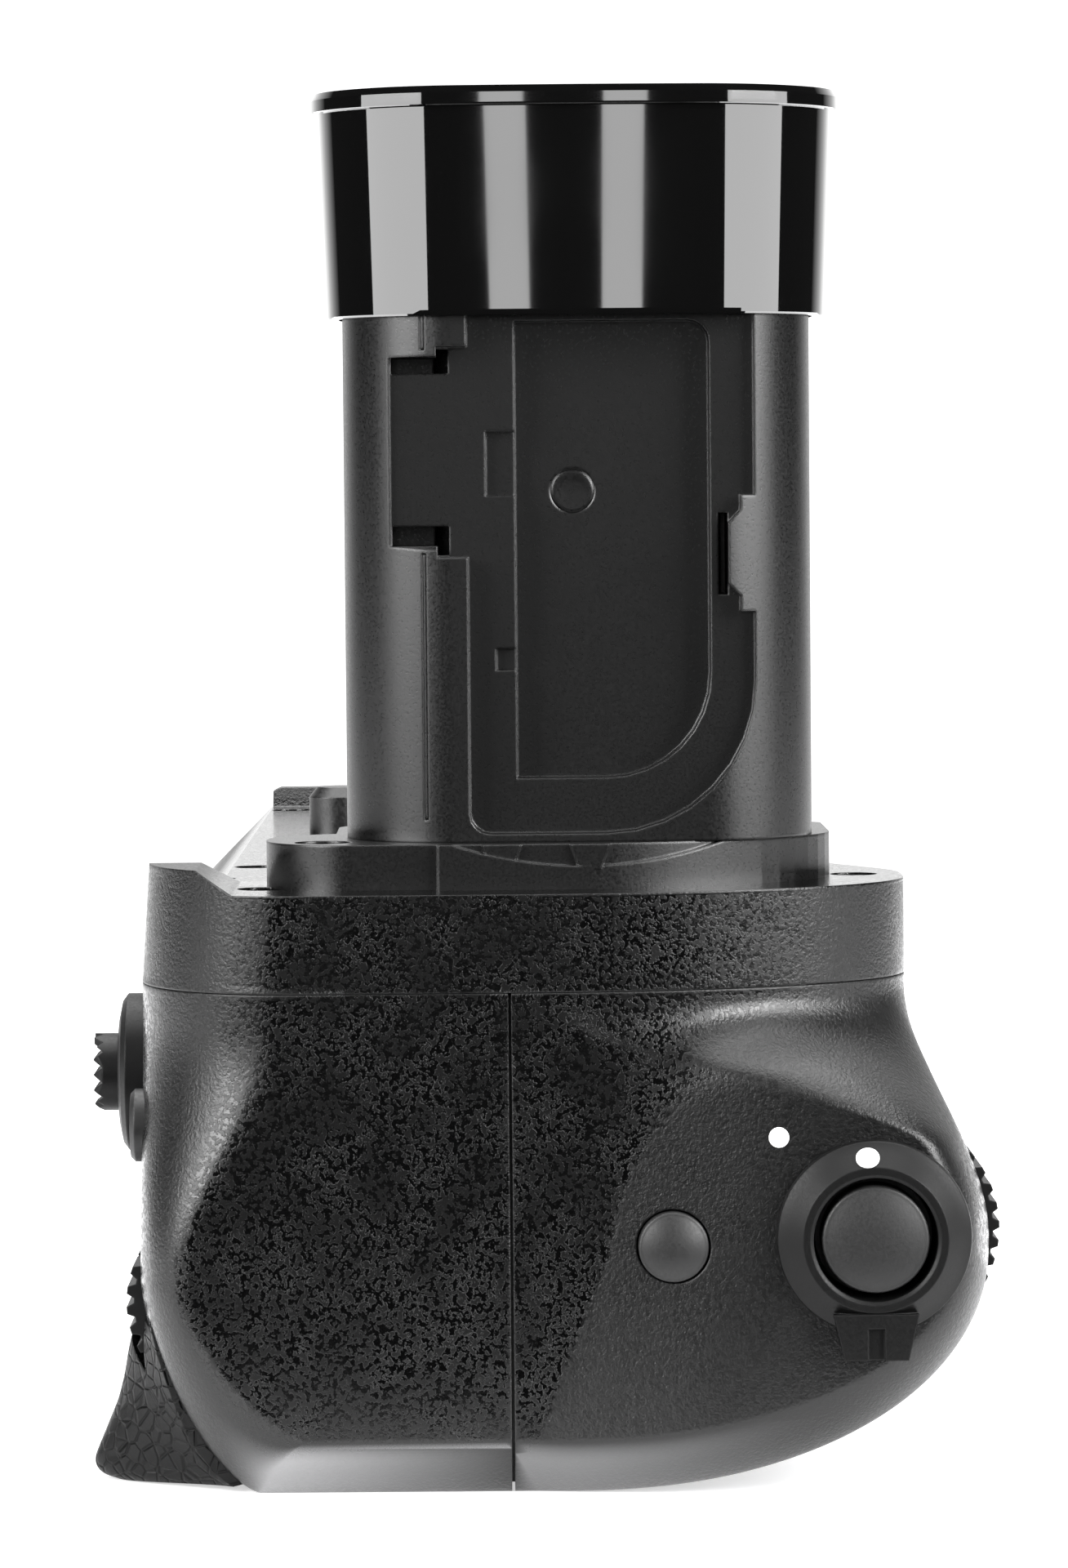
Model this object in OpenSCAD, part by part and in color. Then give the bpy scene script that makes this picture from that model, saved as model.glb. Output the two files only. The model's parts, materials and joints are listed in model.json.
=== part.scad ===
// Camera battery grip: a hand grip that screws under a camera body.
// Millimetres, +Z up, origin at the mouth of the tripod socket.
// The shutter end points to -X, the camera front to -Y.

/* [Body] */
// Shutter end face to the battery tray, room for the controls
control_room = 20.1; // [18.5:0.1:22]
// Tripod axis to the far end face
far_len = 73; // [66:0.5:80]
// Height of the camera seat above the base
seat_h = 51.7; // [47:0.1:57]
// Tripod axis to the upper front wall
front_depth = 41.6; // [38:0.1:45]
// How far the front wall falls back behind the hand bulge
hand_back = 6.6; // [6:0.1:7.2]
// Space between the front wall and the battery chamber
front_room = 3; // [2.7:0.1:3.4]
// Battery chamber to the outside of the rear wall, room for the rear controls
rear_room = 10.2; // [9.6:0.1:11.2]
// How far the hand bulge stands in front of the upper front wall
nose_depth = 6.4; // [5.8:0.1:7]
// Height of the fullest point of the hand bulge
nose_z = 21.5; // [20:0.5:23]
// Depth of the seam between the lower covers and the top cover, below the seat
seam_drop = 8.4; // [8:0.1:9]
// Distance from the tripod axis forward to the seam between the front and rear covers
split_front = 6.7; // [6.1:0.1:7.3]
// Wall of the covers
wall = 2.2; // [2:0.1:2.4]
// Roof of the top cover
roof = 2.4; // [2.2:0.1:2.6]
// Height of the raised rear corner above the seat
ear_h = 2; // [1.6:0.1:2.6]
// Rise of the shutter platform from the end face
boss_rise = 3; // [2.7:0.1:3.3]

/* [Rubber] */
// Thickness of the front grip rubber
rubber_t = 1.2; // [0.8:0.1:1.5]
// How far the thumb rest flares behind the rear wall
flare = 4.6; // [3:0.1:6]

/* [Stalk] */
// Width of the stalk, a camera battery chamber wide
stalk_w = 40.9; // [40:0.1:42]
// Thickness of the stalk
stalk_t = 22; // [21:0.1:22.6]
// Height of the stalk top above the camera seat
stalk_h = 65.3; // [60:0.5:72]
// Upper front wall to the middle of the stalk
stalk_in = 28.54; // [27.5:0.02:29.5]
// End face to the near face of the stalk
stalk_set = 8.5; // [8:0.5:9]
// Corner radius of the stalk
stalk_r = 10; // [9:0.25:10.25]
// Thickness of the stalk flange
flange_h = 3.9; // [3.5:0.1:4.5]
// Depth of the outer step of the door store
store_depth = 2.5; // [2:0.1:3]
// Extra depth of the inner pocket of the door store
pocket_depth = 2.8; // [2.4:0.1:3]
// Play between the stalk and its cap, each side
cap_play = 0.3; // [0.2:0.05:0.5]
// Height of the cap
cap_h = 19.6; // [16:0.2:22]

/* [Camera fastening] */
// Radius of the camera screw, quarter inch class
screw_r = 3.175; // [3:0.005:3.2]
// Camera screw above the seat
screw_up = 5.5; // [4:0.5:7]
// How far the attachment wheel stands out of the rear wall
wheel_out = 1.6; // [1.2:0.1:2]
// Thickness of the attachment wheel
wheel_t = 5.6; // [5:0.1:5.8]
// Radius of the locating pin
pin_r = 3; // [2.5:0.1:3.2]
// Locating pin above the seat
pin_up = 5; // [3:0.5:7]
// Locating pin, along the body from the tripod axis
pin_x = 14; // [12:0.5:16]
// Locating pin, behind the tripod axis
pin_y = 9.8; // [9:0.1:10.6]
// Radius of the tripod socket bore
socket_r = 3.2; // [3.1:0.02:3.4]

/* [Controls] */
// Radius of the shutter button
shutter_r = 4.55; // [4.2:0.05:4.6]
// Travel of the shutter button
shutter_travel = 1.2; // [0.8:0.1:1.3]
// Outer radius of the lock lever ring
lever_r = 7.9; // [7.6:0.1:8.2]
// Inner radius of the lock lever hub
lever_in = 5.25; // [5.2:0.05:5.4]
// Radius of the function button
function_r = 3; // [2.6:0.1:3.2]
// Tip radius of the front dial
sub_dial_r = 10; // [9.8:0.1:10.2]
// Tip radius of the rear dial
main_dial_r = 8.8; // [8.6:0.1:9]
// Width of the dials
dial_w = 7; // [6:0.1:7]
// Radius of the dial axles
axle_r = 1; // [0.8:0.05:1.2]
// Running play of a dial on its axle
axle_play = 0.05; // [0.03:0.01:0.08]
// Radius of the focus button
focus_r = 3.2; // [2.6:0.1:3.4]
// Radius of the joystick base
joy_base_r = 7; // [6.8:0.1:7.2]
// Radius of the joystick cap
joy_cap_r = 3.45; // [3:0.05:3.5]
// Play round buttons in their holes
button_play = 0.15; // [0.1:0.01:0.2]

/* [Power] */
// Length of a battery bay
bay_l = 56.6; // [52:0.1:62]
// Width of a battery bay
bay_w = 39.2; // [36:0.1:43]
// Depth of a battery bay
bay_h = 21; // [19:0.1:23]
// Side wall of the battery tray
tray_wall = 1.4; // [1.2:0.1:1.6]
// Play of the tray in its chamber, each side
tray_play = 0.3; // [0.25:0.05:0.4]
// Wall of the battery chamber
sleeve_wall = 1.2; // [1.1:0.1:1.3]
// Thickness of the tray cover
cover_t = 2.4; // [2.2:0.1:2.6]
// Radius of the latch knob
knob_r = 8; // [7:0.5:10]

/* [Hidden] */

$fn = 48;

// Battery tray and its chamber; the housing is laid round them
tray_end_wall = 2.6;
tray_w = bay_w + 2 * tray_wall;
tray_h = bay_h + tray_wall;
tray_l = 2 * bay_l + 2 * tray_end_wall + 2.1;
sleeve_in_w = tray_w + 2 * tray_play;
sleeve_in_h = tray_h + 2 * tray_play;
sleeve_w = sleeve_in_w + 2 * sleeve_wall;
sleeve_h = sleeve_in_h + 2 * sleeve_wall;
body_front = front_depth - hand_back;
sleeve_y0 = -body_front + wall + front_room;
sleeve_y1 = sleeve_y0 + sleeve_w;
tray_mid_y = (sleeve_y0 + sleeve_y1) / 2;
far_x = far_len;
tray_x1 = far_x - cover_t;
tray_x0 = tray_x1 - tray_l;
contact_gap = 1.3;
sleeve_in_x = tray_x0 - contact_gap;
sleeve_x0 = sleeve_in_x - sleeve_wall;
sleeve_x1 = tray_x1 - 0.7;

// Height left over is shared between the space under the chamber and the space over the wheel
washer_gap = 1.2;
spare_h = seat_h - roof - wheel_t - washer_gap - sleeve_h;
base_share = 0.61404;
sleeve_z0 = base_share * spare_h;
sleeve_z1 = sleeve_z0 + sleeve_h;
head_gap = (1 - base_share) * spare_h;
tray_z0 = sleeve_z0 + sleeve_wall + tray_play;
tray_mid_z = tray_z0 + tray_h / 2;
wheel_z0 = sleeve_z1 + washer_gap;
wheel_z1 = wheel_z0 + wheel_t;

// Housing
near_x = tray_x0 - control_room;
rear_depth = sleeve_y1 + rear_room;
split_y = -split_front;
wheel_r = rear_depth + wheel_out;
seam_z = seat_h - seam_drop;
roof_z = seat_h - roof;
ear_z = seat_h + ear_h;
boss_x = near_x - boss_rise;
boss_in_x = boss_x + wall;

// Places below were measured on a body of this height, depth and length; they keep their share of it
h_share = seat_h / 51.7;
d_share = (front_depth + rear_depth) / 67;
l_share = (far_x - near_x) / 143;

// Corner roundings of the housing: length along X and inset sideways
rear_round_top = [16, 14] * d_share;
rear_round_low = [8, 5] * d_share;
front_round_top = [19, 32] * d_share;
front_round_low = [9, 4] * d_share;
base_round = [9, 5.2] * d_share;
base_round_power = 1.25;
far_round = 6 * d_share;
far_front_round = 1.6 * d_share;
far_base_round = 3 * d_share;
nose_top = seam_z - 0.8;
// Lean of the rear wall above the seam
rear_lean = 0.7;
sweep_near = 38.5 * d_share;
sweep_far = 6 * d_share;
sweep_power = 2.2;
rear_corner_w = 9.7 * d_share;
rear_corner_z = 18 * h_share;
rear_corner_power = 1.5;
boss_flank = 2.6;
// Length over which the shutter platform climbs from its left edge
boss_climb = 16;
boss_fade = 18 * d_share;

// Controls, placed from the walls they stand on
lever_y = -front_depth + 4.2 * d_share;
lever_z = 22.6 * h_share;
function_y = lever_y + 16.95 * d_share;
function_z = 21.7 * h_share;
function_x = near_x - boss_rise * 0.48;
yoke_arm_t = 1.6;
yoke_gap = 1;
dial_x = sleeve_x0 - yoke_gap - yoke_arm_t - dial_w;
sub_y = -front_depth - nose_depth - 1 + sub_dial_r;
sub_z = 21.9 * h_share;
main_y = rear_depth + 1.3 - main_dial_r;
main_z = 16 * h_share;
focus_x = near_x + 13 * d_share;
focus_z = 30.9 * h_share;
joy_x = near_x + 24 * d_share;
joy_z = 34.5 * h_share;
board_x = near_x + 3.8;
board_t = 1;
rear_board_y = sleeve_y1 + 1;
joy_pivot_y = rear_board_y + board_t + 4.2;
dial_play = 0.4;

// Tray cover and feet
cover_w = tray_w + 4.6;
cover_h = tray_h + 5.2;
cover_play = 0.3;
dog_len = cover_h + 3.2;
foot_points = [for (x = [near_x + 24 * l_share, far_x - 17 * l_share]) for (y = [16.4, 26.4]) [x,
    rear_depth - y * d_share]];

// Stalk
stalk_y = -front_depth + stalk_in;
stalk_x0 = near_x + stalk_set;
stalk_x1 = stalk_x0 + stalk_t;
stalk_mid_x = (stalk_x0 + stalk_x1) / 2;
stalk_z0 = seat_h + flange_h;
stalk_z1 = seat_h + stalk_h;
stalk_wall = 1.8;
stalk_in_w = stalk_w - 2 * stalk_r + 4;
store_back = store_depth + pocket_depth + 1.6;
stalk_split_x = stalk_x0 + store_back + 2;
cap_z0 = stalk_z1 + 3.6 - cap_h;
cap_z1 = stalk_z1 + 3.6;
ribbon_x = stalk_x1 - 6.5;
// Depth that the flange and the locating pin are let into the seat
seat_inlay = 0.4;

// Camera fastening
pin_root = head_gap * 2 / 3;
front_post_y = -front_depth + wall + 2;
rear_post_y = rear_depth - 9.2;
post_r = 3;
top_screw_points = [[near_x + 22 * l_share, front_post_y], [far_x - 11, front_post_y + hand_back],
    [-wheel_r - post_r - 1, rear_post_y], [far_x - 11, rear_post_y]];

function mix(a, b, t) = a + (b - a) * t;
function ease(t) = let (c = min(1, max(0, t))) c * c * (3 - 2 * c);
// Inset of a rounded corner at distance d from the end; power 2 is an ellipse, less is flatter
function corner_in(d, a, b, p = 2) = d >= a ? 0 : b * (1 - pow(max(0, 1 - pow(1 - max(d, 0) / a, p)), 1 / p));
function soft_max(a, b, k) = let (h = max(k - abs(a - b), 0) / k) max(a, b) + h * h * k / 4;

// Hand bulge along the body: full at the shutter end, set back under the rubber
function nose_at(x) = mix(nose_depth, nose_depth - rubber_t - 0.2, ease((x - near_x - 13) / 6))
    * (1 - ease((x - near_x - 26 * l_share) / (30 * l_share)));
// Front wall falling back behind the hand bulge
function hand_at(x) = hand_back * ease((x - near_x - 24 * l_share) / (18 * l_share));
function rear_at(x, z, w) = let (t = ease((z / h_share - 20) / 20))
    rear_depth - w - rear_lean * max(0, (z - seam_z) / (ear_z - seam_z))
    - corner_in(x - near_x - w, mix(rear_round_low[0], rear_round_top[0], t),
        mix(rear_round_low[1], rear_round_top[1], t))
    - corner_in(far_x - w - x, far_round, far_round);
function front_at(x, z, w) = let (t = ease((z / h_share - 30) / 12))
    w - front_depth + hand_at(x) - nose_at(x) * (1 - ease((z - nose_z) / (nose_top - nose_z)))
    + corner_in(x - near_x - w, mix(front_round_low[0], front_round_top[0], t),
        mix(front_round_low[1], front_round_top[1], t))
    + corner_in(far_x - w - x, far_round, far_front_round);
function base_at(x, w) = w + corner_in(x - near_x - w, base_round[0], base_round[1], base_round_power)
    + corner_in(far_x - w - x, far_base_round, far_base_round);
function sweep_at(x) = mix(sweep_far, sweep_near, nose_at(x) / nose_depth);

// One point of the front bottom sweep and of the rear bottom corner, angle a from 0 to 90
function sweep_point(x, w, a) = let (y0 = front_at(x, nose_z, w), z0 = base_at(x, w))
    [y0 + sweep_at(x) * (1 - pow(cos(a), 2 / sweep_power)),
     z0 + (nose_z - z0) * (1 - pow(sin(a), 2 / sweep_power))];
function corner_point(x, w, a) = let (y0 = rear_at(x, rear_corner_z, w), z0 = base_at(x, w))
    [y0 - rear_corner_w + rear_corner_w * pow(sin(a), 2 / rear_corner_power),
     rear_corner_z - (rear_corner_z - z0) * pow(cos(a), 2 / rear_corner_power)];

front_steps = 7;
sweep_steps = 9;
corner_steps = 6;
rear_steps = 7;
function section(x, w, zt) = concat(
    [for (i = [0 : front_steps]) let (z = mix(zt, nose_z, i / front_steps)) [front_at(x, z, w), z]],
    [for (i = [1 : sweep_steps]) sweep_point(x, w, 90 * i / sweep_steps)],
    [for (i = [0 : corner_steps]) corner_point(x, w, 90 * i / corner_steps)],
    [for (i = [1 : rear_steps]) let (z = mix(rear_corner_z, zt, i / rear_steps)) [rear_at(x, z, w), z]]);

// Height share of the raised shutter platform at a point of the end face
function boss_share(y, z) = let (
    back = (y + front_depth) / d_share,
    up = z / h_share,
    left = back - 30.9 + 0.265 * (up - 14),
    top = up - 39.6,
    slope = 0.657 * up - 0.754 * back - 23.85)
    max(0, -soft_max(left / boss_climb, -1, 0.3)) * ease(-soft_max(top, slope, 6) / boss_flank);
function boss_point(x, w, p) =
    [x - boss_rise * boss_share(p[0], p[1]) * (1 - ease((x - near_x - w) / boss_fade)), p[0], p[1]];

near_steps = [0, 0.35, 1.2, 2.6, 4.6, 7.2, 10.5, 14, 18];
hand_steps = [26, 30, 34, 38, 43, 50, 58];
mid_steps = concat([for (d = hand_steps) near_x + d * l_share],
    [for (i = [0 : 4]) mix(near_x + 72 * l_share, far_x - 15 * l_share, i / 4)]);
far_steps = [6, 4, 2.4, 1.2, 0.35, 0];
cap_rings = [0.16, 0.27, 0.33, 0.37, 0.41, 0.46, 0.53, 0.61, 0.7, 0.79, 0.88, 0.95];
function stations(w) = concat([for (d = near_steps) near_x + w + d], mid_steps,
    [for (d = far_steps) far_x - w - d]);

// Lofted housing, w inside the outer surface, up to height zt
module body_form(w, zt) {
    centre = [-front_depth + 43.6 * d_share, 27 * h_share];
    xs = stations(w);
    near_outline = section(xs[0], w, zt);
    n = len(near_outline);
    rings = concat(
        [for (s = cap_rings) [for (p = near_outline) boss_point(xs[0], w, centre + (p - centre) * s)]],
        [for (x = xs) [for (p = section(x, w, zt)) boss_point(x, w, p)]]);
    m = len(rings);
    points = concat([for (r = rings) each r], [boss_point(xs[0], w, centre), [far_x - w, centre[0],
        centre[1]]]);
    faces = concat(
        [for (i = [0 : n - 1]) [n * m, i, (i + 1) % n]],
        [for (r = [0 : m - 2]) for (i = [0 : n - 1]) [r * n + i, (r + 1) * n + i, (r + 1) * n + (i + 1)
            % n]],
        [for (r = [0 : m - 2]) for (i = [0 : n - 1]) [r * n + i, (r + 1) * n + (i + 1) % n, r * n + (i + 1)
            % n]],
        [for (i = [0 : n - 1]) [n * m + 1, (m - 1) * n + (i + 1) % n, (m - 1) * n + i]]);
    polyhedron(points = points, faces = faces);
}

// Placing helpers: local Z leaves the shutter end, enters it, or leaves the rear wall
module out_x(p) { translate(p) rotate([0, -90, 0]) children(); }
module in_x(p) { translate(p) rotate([0, 90, 0]) children(); }
module out_y(p) { translate(p) rotate([-90, 0, 0]) children(); }
module box(a, b) { translate(a) cube(b - a); }

// Prism along X from a YZ outline and along Y from an XZ outline
module prism_x(x0, x1, outline) {
    translate([x0, 0, 0]) rotate([90, 0, 90]) linear_extrude(x1 - x0) polygon(outline);
}
module prism_y(y0, y1, outline) {
    translate([0, y1, 0]) rotate([90, 0, 0]) linear_extrude(y1 - y0) polygon(outline);
}

// Rounded rectangle, exact arcs
module soft_rect(w, d, r) {
    square([w - 2 * r, d], center = true);
    square([w, d - 2 * r], center = true);
    for (sx = [-1, 1]) for (sy = [-1, 1]) translate([sx * (w / 2 - r), sy * (d / 2 - r)]) circle(r);
}
module soft_block(w, d, h, r) { linear_extrude(h) soft_rect(w, d, r); }

// Toothed wheel outline
function tooth_outline(r, h, n, a, b) = [for (i = [0 : n - 1]) for (k = [0 : 3])
    let (g = (i + [0, a, a + b, 2 * a + b][k]) * 360 / n, q = (k == 1 || k == 2) ? r : r - h)
    [q * cos(g), q * sin(g)]];

// Slot and hole cutters shared by the covers
module end_holes() {
    in_x([boss_x - 1, lever_y, lever_z]) cylinder(h = wall + 4, r = hub_r + 0.1);
    in_x([function_x - 2, function_y, function_z]) cylinder(h = wall + 5, r = function_r + button_play);
    // Flat seats behind the platform for the lever clip and the button flange
    in_x([boss_in_x, lever_y, lever_z]) cylinder(h = 3, r = hub_r + 2.2);
    in_x([function_x + wall, function_y, function_z]) cylinder(h = 3, r = function_r + 1.2);
}
hub_r = lever_in + 1.05;
module far_opening() {
    box([tray_x1 - 4, tray_mid_y - cover_w / 2 - cover_play, tray_mid_z - cover_h / 2 - cover_play],
        [far_x + 2, tray_mid_y + cover_w / 2 + cover_play, tray_mid_z + cover_h / 2 + cover_play]);
    // Round undercut that the latch dog turns into
    in_x([tray_x1 - 0.6, tray_mid_y, tray_mid_z]) cylinder(h = far_x - tray_x1 - 0.4, r = dog_len / 2 + 0.6);
}
module sub_dial_slot() {
    in_x([dial_x - 0.5, sub_y, sub_z]) cylinder(h = dial_w + 1, r = sub_dial_r + dial_play);
}
module main_dial_slot() {
    in_x([dial_x - 0.5, main_y, main_z]) cylinder(h = dial_w + 1, r = main_dial_r + dial_play);
}
wheel_slot_w = 2 * sqrt(pow(wheel_r, 2) - pow(rear_depth - wall, 2)) + 3.4;
module wheel_slot(top) {
    box([-wheel_slot_w / 2, rear_depth - wall - 4, wheel_z0 - 0.4], [wheel_slot_w / 2, rear_depth + 3,
        top]);
}
module cavity() { body_form(wall, roof_z); }

module top_cover() {
    color("#1d1d1e") difference() {
        body_form(0, ear_z);
        box([near_x - 9, -90, -5], [far_x + 9, 90, seam_z]);
        difference() {
            cavity();
            for (p = top_screw_points) translate([p[0], p[1], seam_z]) cylinder(h = roof_z - seam_z + 1,
                r = post_r);
            translate([pin_x, pin_y, roof_z - pin_root]) cylinder(h = pin_root + 0.6, r = pin_r + 2);
            // Wall kept under the sloping rear edge
            prism_x(near_x + 24, far_x + 9, [[rear_depth - 10, seat_h], [rear_depth + 2, seat_h - 12],
                [rear_depth + 2, seat_h + 1], [rear_depth - 10, seat_h + 1]]);
        }
        // Plain seat between the raised rear corner and the far lip
        prism_y(-80, 80, [[near_x + 15, ear_z + 1], [near_x + 15, ear_z], [near_x + 19, seat_h],
            [far_x - 4, seat_h], [far_x - 2.6, seat_h + 2.2], [far_x + 9, seat_h + 2.2], [far_x + 9,
                ear_z + 1]]);
        prism_x(near_x - 9, near_x + 19.5, [[-90, seat_h], [rear_depth - 8.5, seat_h],
            [rear_depth - 5.3, ear_z], [rear_depth - 5.3, ear_z + 1], [-90, ear_z + 1]]);
        // Rear edge behind the seat
        prism_x(near_x + 26, far_x + 9, [[rear_depth - 6.9, seat_h], [rear_depth + 2, seat_h - 8.9],
            [rear_depth + 2, ear_z + 1], [rear_depth - 6.9, ear_z + 1]]);
        // Rounded rear end of the far lip
        prism_x(far_x - 12, far_x + 9, concat([[rear_depth - 9.6, ear_z + 2]],
            [for (a = [90 : -15 : 0]) [rear_depth - 9.6 + 3.8 * cos(a), seat_h + 2.3 * sin(a)]],
            [[rear_depth + 9, seat_h], [rear_depth + 9, ear_z + 2]]));
        // Shallow dimples for the camera's feet
        translate([flange_x0 + 3.2, stalk_y + stalk_w / 2 + 7.2, seat_h - 0.5]) cylinder(h = 9, r = 2.2);
        translate([near_x + 23.6, rear_depth - 7, seat_h - 0.5]) cylinder(h = 2.4, r = 0.9);
        translate([0, 0, roof_z - 1]) cylinder(h = roof + 2, r = screw_r + 0.35);
        translate([pin_x, pin_y, roof_z - pin_root - 1]) cylinder(h = pin_root + 9, r = pin_r - 0.6);
        // Inlays for the foot of the locating pin and for the stalk flange
        translate([pin_x, pin_y, seat_h - seat_inlay]) cylinder(h = 9, r = pin_r + 0.6);
        translate([0, 0, seat_h - seat_inlay]) linear_extrude(9) flange_plan(0.1);
        // Room for the wheel where it stands above the seam
        wheel_slot(wheel_z1 + 0.4);
        for (p = top_screw_points) {
            translate([p[0], p[1], seam_z - 1]) cylinder(h = 12, r = 1.3);
            translate([p[0], p[1], seat_h - 1.4]) cylinder(h = 9, r = 2.1);
        }
        for (p = flange_screw_points) translate([p[0], p[1], roof_z - 1]) cylinder(h = 9, r = 1.2);
        box([ribbon_x - 2, stalk_y - 8, roof_z - 1], [ribbon_x + 2, stalk_y + 8, seat_h + 1]);
    }
}

module front_cover() {
    color("#1b1b1c") difference() {
        body_form(0, ear_z);
        difference() {
            cavity();
            for (p = top_screw_points) {
                if (p[1] < split_y) translate([p[0], p[1], sleeve_z1 + 0.6])
                    cylinder(h = seam_z - sleeve_z1 + 1, r = post_r);
            }
            for (p = board_posts) in_x([near_x - 2, p[0], p[1]]) cylinder(h = board_x - near_x + 2,
                r = 1.8);
        }
        box([near_x - 9, -90, seam_z], [far_x + 9, 90, ear_z + 9]);
        box([near_x - 9, split_y, -9], [far_x + 9, 90, ear_z + 9]);
        end_holes();
        far_opening();
        sub_dial_slot();
        for (p = top_screw_points) translate([p[0], p[1], seam_z - 9]) cylinder(h = 20, r = 1.1);
    }
}
board_posts = [[function_y + 7.4 * d_share, 15 * h_share], [function_y + 7.4 * d_share, 33 * h_share],
    [lever_y + 4.4 * d_share, 14 * h_share]];

module rear_cover() {
    color("#1c1c1d") difference() {
        body_form(0, ear_z);
        difference() {
            cavity();
            for (p = top_screw_points) {
                if (p[1] > split_y) {
                    translate([p[0], p[1], seam_z - 5]) cylinder(h = 12, r = post_r);
                    box([p[0] - post_r, p[1], seam_z - 5], [p[0] + post_r, rear_depth, seam_z + 1]);
                }
            }
        }
        box([near_x - 9, -90, seam_z], [far_x + 9, 90, ear_z + 9]);
        box([near_x - 9, -90, -9], [far_x + 9, split_y, ear_z + 9]);
        far_opening();
        main_dial_slot();
        wheel_slot(seam_z + 1);
        out_y([focus_x, rear_depth - wall - 3, focus_z]) cylinder(h = 9, r = focus_r + button_play);
        // Flat seat behind the wall for the focus button's flange
        out_y([focus_x, rear_depth - wall - 3, focus_z]) cylinder(h = 3, r = focus_r + 1.2);
        out_y([joy_x, rear_depth - wall - 3, joy_z]) cylinder(h = 9, r = joy_base_r - 0.8);
        translate([0, 0, -1]) cylinder(h = wall + 3, r = socket_r + 2.8);
        for (p = foot_points) {
            translate([p[0], p[1], -1]) cylinder(h = 9, r = 1.4);
            translate([p[0], p[1], -1]) cylinder(h = 2.3, r = 2.5);
        }
        for (p = top_screw_points) translate([p[0], p[1], seam_z - 9]) cylinder(h = 20, r = 1.1);
    }
}

// Rubber skin between two rows of section outlines; turn splits the inner facets as the body's are split
module skin(inner, outer, turn = false) {
    n = len(inner[0]);
    m = len(inner);
    ring = 2 * n;
    points = [for (r = [0 : m - 1]) each concat(outer[r], [for (i = [n - 1 : -1 : 0]) inner[r][i]])];
    faces = concat(
        [[for (i = [0 : ring - 1]) i]],
        [for (r = [0 : m - 2]) for (i = [0 : ring - 1]) let (next = (i + 1) % ring)
            turn && i >= n ? [r * ring + i, (r + 1) * ring + i, r * ring + next]
            : [r * ring + i, (r + 1) * ring + i, (r + 1) * ring + next]],
        [for (r = [0 : m - 2]) for (i = [0 : ring - 1]) let (next = (i + 1) % ring)
            turn && i >= n ? [(r + 1) * ring + i, (r + 1) * ring + next, r * ring + next]
            : [r * ring + i, (r + 1) * ring + next, r * ring + next]],
        [[for (i = [ring - 1 : -1 : 0]) (m - 1) * ring + i]]);
    polyhedron(points = points, faces = faces);
}

function grip_line(x, w) = concat(
    [for (i = [0 : 5]) let (z = mix(ear_z, nose_z, (5 + 0.4 * i) / 7)) [x, front_at(x, z, w), z]],
    [for (a = [10 : 10 : 50]) let (p = sweep_point(x, w, a)) [x, p[0], p[1]]]);
grip_x0 = near_x + 22 * l_share;
grip_x1 = near_x + 50 * l_share;
function grip_edge(x) = rubber_t * min(1, 0.5 + min(x - grip_x0, grip_x1 - x) / 6);
skin_gap = 0.06;
module front_grip_rubber() {
    xs = concat([grip_x0], [for (i = [0 : 4]) near_x + hand_steps[i] * l_share], [grip_x1]);
    color("#161616") skin([for (x = xs) grip_line(x, -skin_gap)], [for (x = xs) grip_line(x,
        -skin_gap - grip_edge(x))], true);
}

// Thumb rest: full outline of its rear bottom flare, behind the rear wall
rest_outline = [[0.02, 15], [0.3, 12.4], [0.38, 9], [0.62, 5.4], [0.93, 2.6], [1, 1.5], [0.9, 0.5],
    [0.55, 0]];
rest_t = 0.9;
function rest_share(x) = mix(0.06, 1, ease((x - near_x - 6 * l_share) / (19 * l_share)))
    * (1 - 0.94 * ease((x - near_x - 36 * l_share) / (14 * l_share)));
function rest_angle(i) = 72 - 56 * i / 7;
function rest_outer(x) = [for (i = [0 : 7]) let (p = corner_point(x, -rest_t, rest_angle(i)),
    q = rest_outline[i],
    s = rest_share(x), lift = base_at(x, 0))
    [x, mix(p[0], rear_depth + flare * q[0], s), max(0, mix(p[1], q[1] * h_share + lift, s))]];
function rest_inner(x) = [for (i = [0 : 7]) let (p = corner_point(x, -skin_gap, rest_angle(i))) [x, p[0],
    p[1]]];
module thumb_rest_rubber() {
    xs = [for (d = [6, 8.5, 11.5, 15, 19, 25, 30.5, 36, 40, 44, 47, 50]) near_x + d * l_share];
    color("#171717") difference() {
        skin([for (x = xs) rest_inner(x)], [for (x = xs) rest_outer(x)]);
        // Room for the rear dial
        in_x([dial_x - 0.5, main_y, main_z]) cylinder(h = dial_w + 1, r = main_dial_r + dial_play + 0.1);
    }
}

module tripod_socket() {
    color("#8d8d8d") difference() {
        union() {
            cylinder(h = sleeve_z0 - 0.6, r = socket_r + 2.8);
            translate([0, 0, wall]) cylinder(h = 1.6, r = socket_r + 6);
        }
        translate([0, 0, -1]) cylinder(h = sleeve_z0 - 1.4, r = socket_r);
    }
}

module base_screws() {
    color("#3a3a3a") for (p = foot_points) translate([p[0], p[1], 0.3]) difference() {
        union() {
            cylinder(h = 1, r = 2.3);
            cylinder(h = sleeve_z0 - 3.1, r = 1.25);
        }
        for (a = [0, 90]) rotate(a) box([-1.5, -0.25, -1], [1.5, 0.25, 0.6]);
    }
}

module top_screws() {
    color("#303030") for (p = top_screw_points) translate([p[0], p[1], seat_h - 0.2]) mirror([0, 0, 1])
        difference() {
        union() {
            cylinder(h = 1.2, r = 1.95);
            cylinder(h = seam_drop + 6, r = 1.1);
        }
        for (a = [0, 90]) rotate(a) box([-1.3, -0.25, -1], [1.3, 0.25, 0.7]);
    }
}

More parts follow.
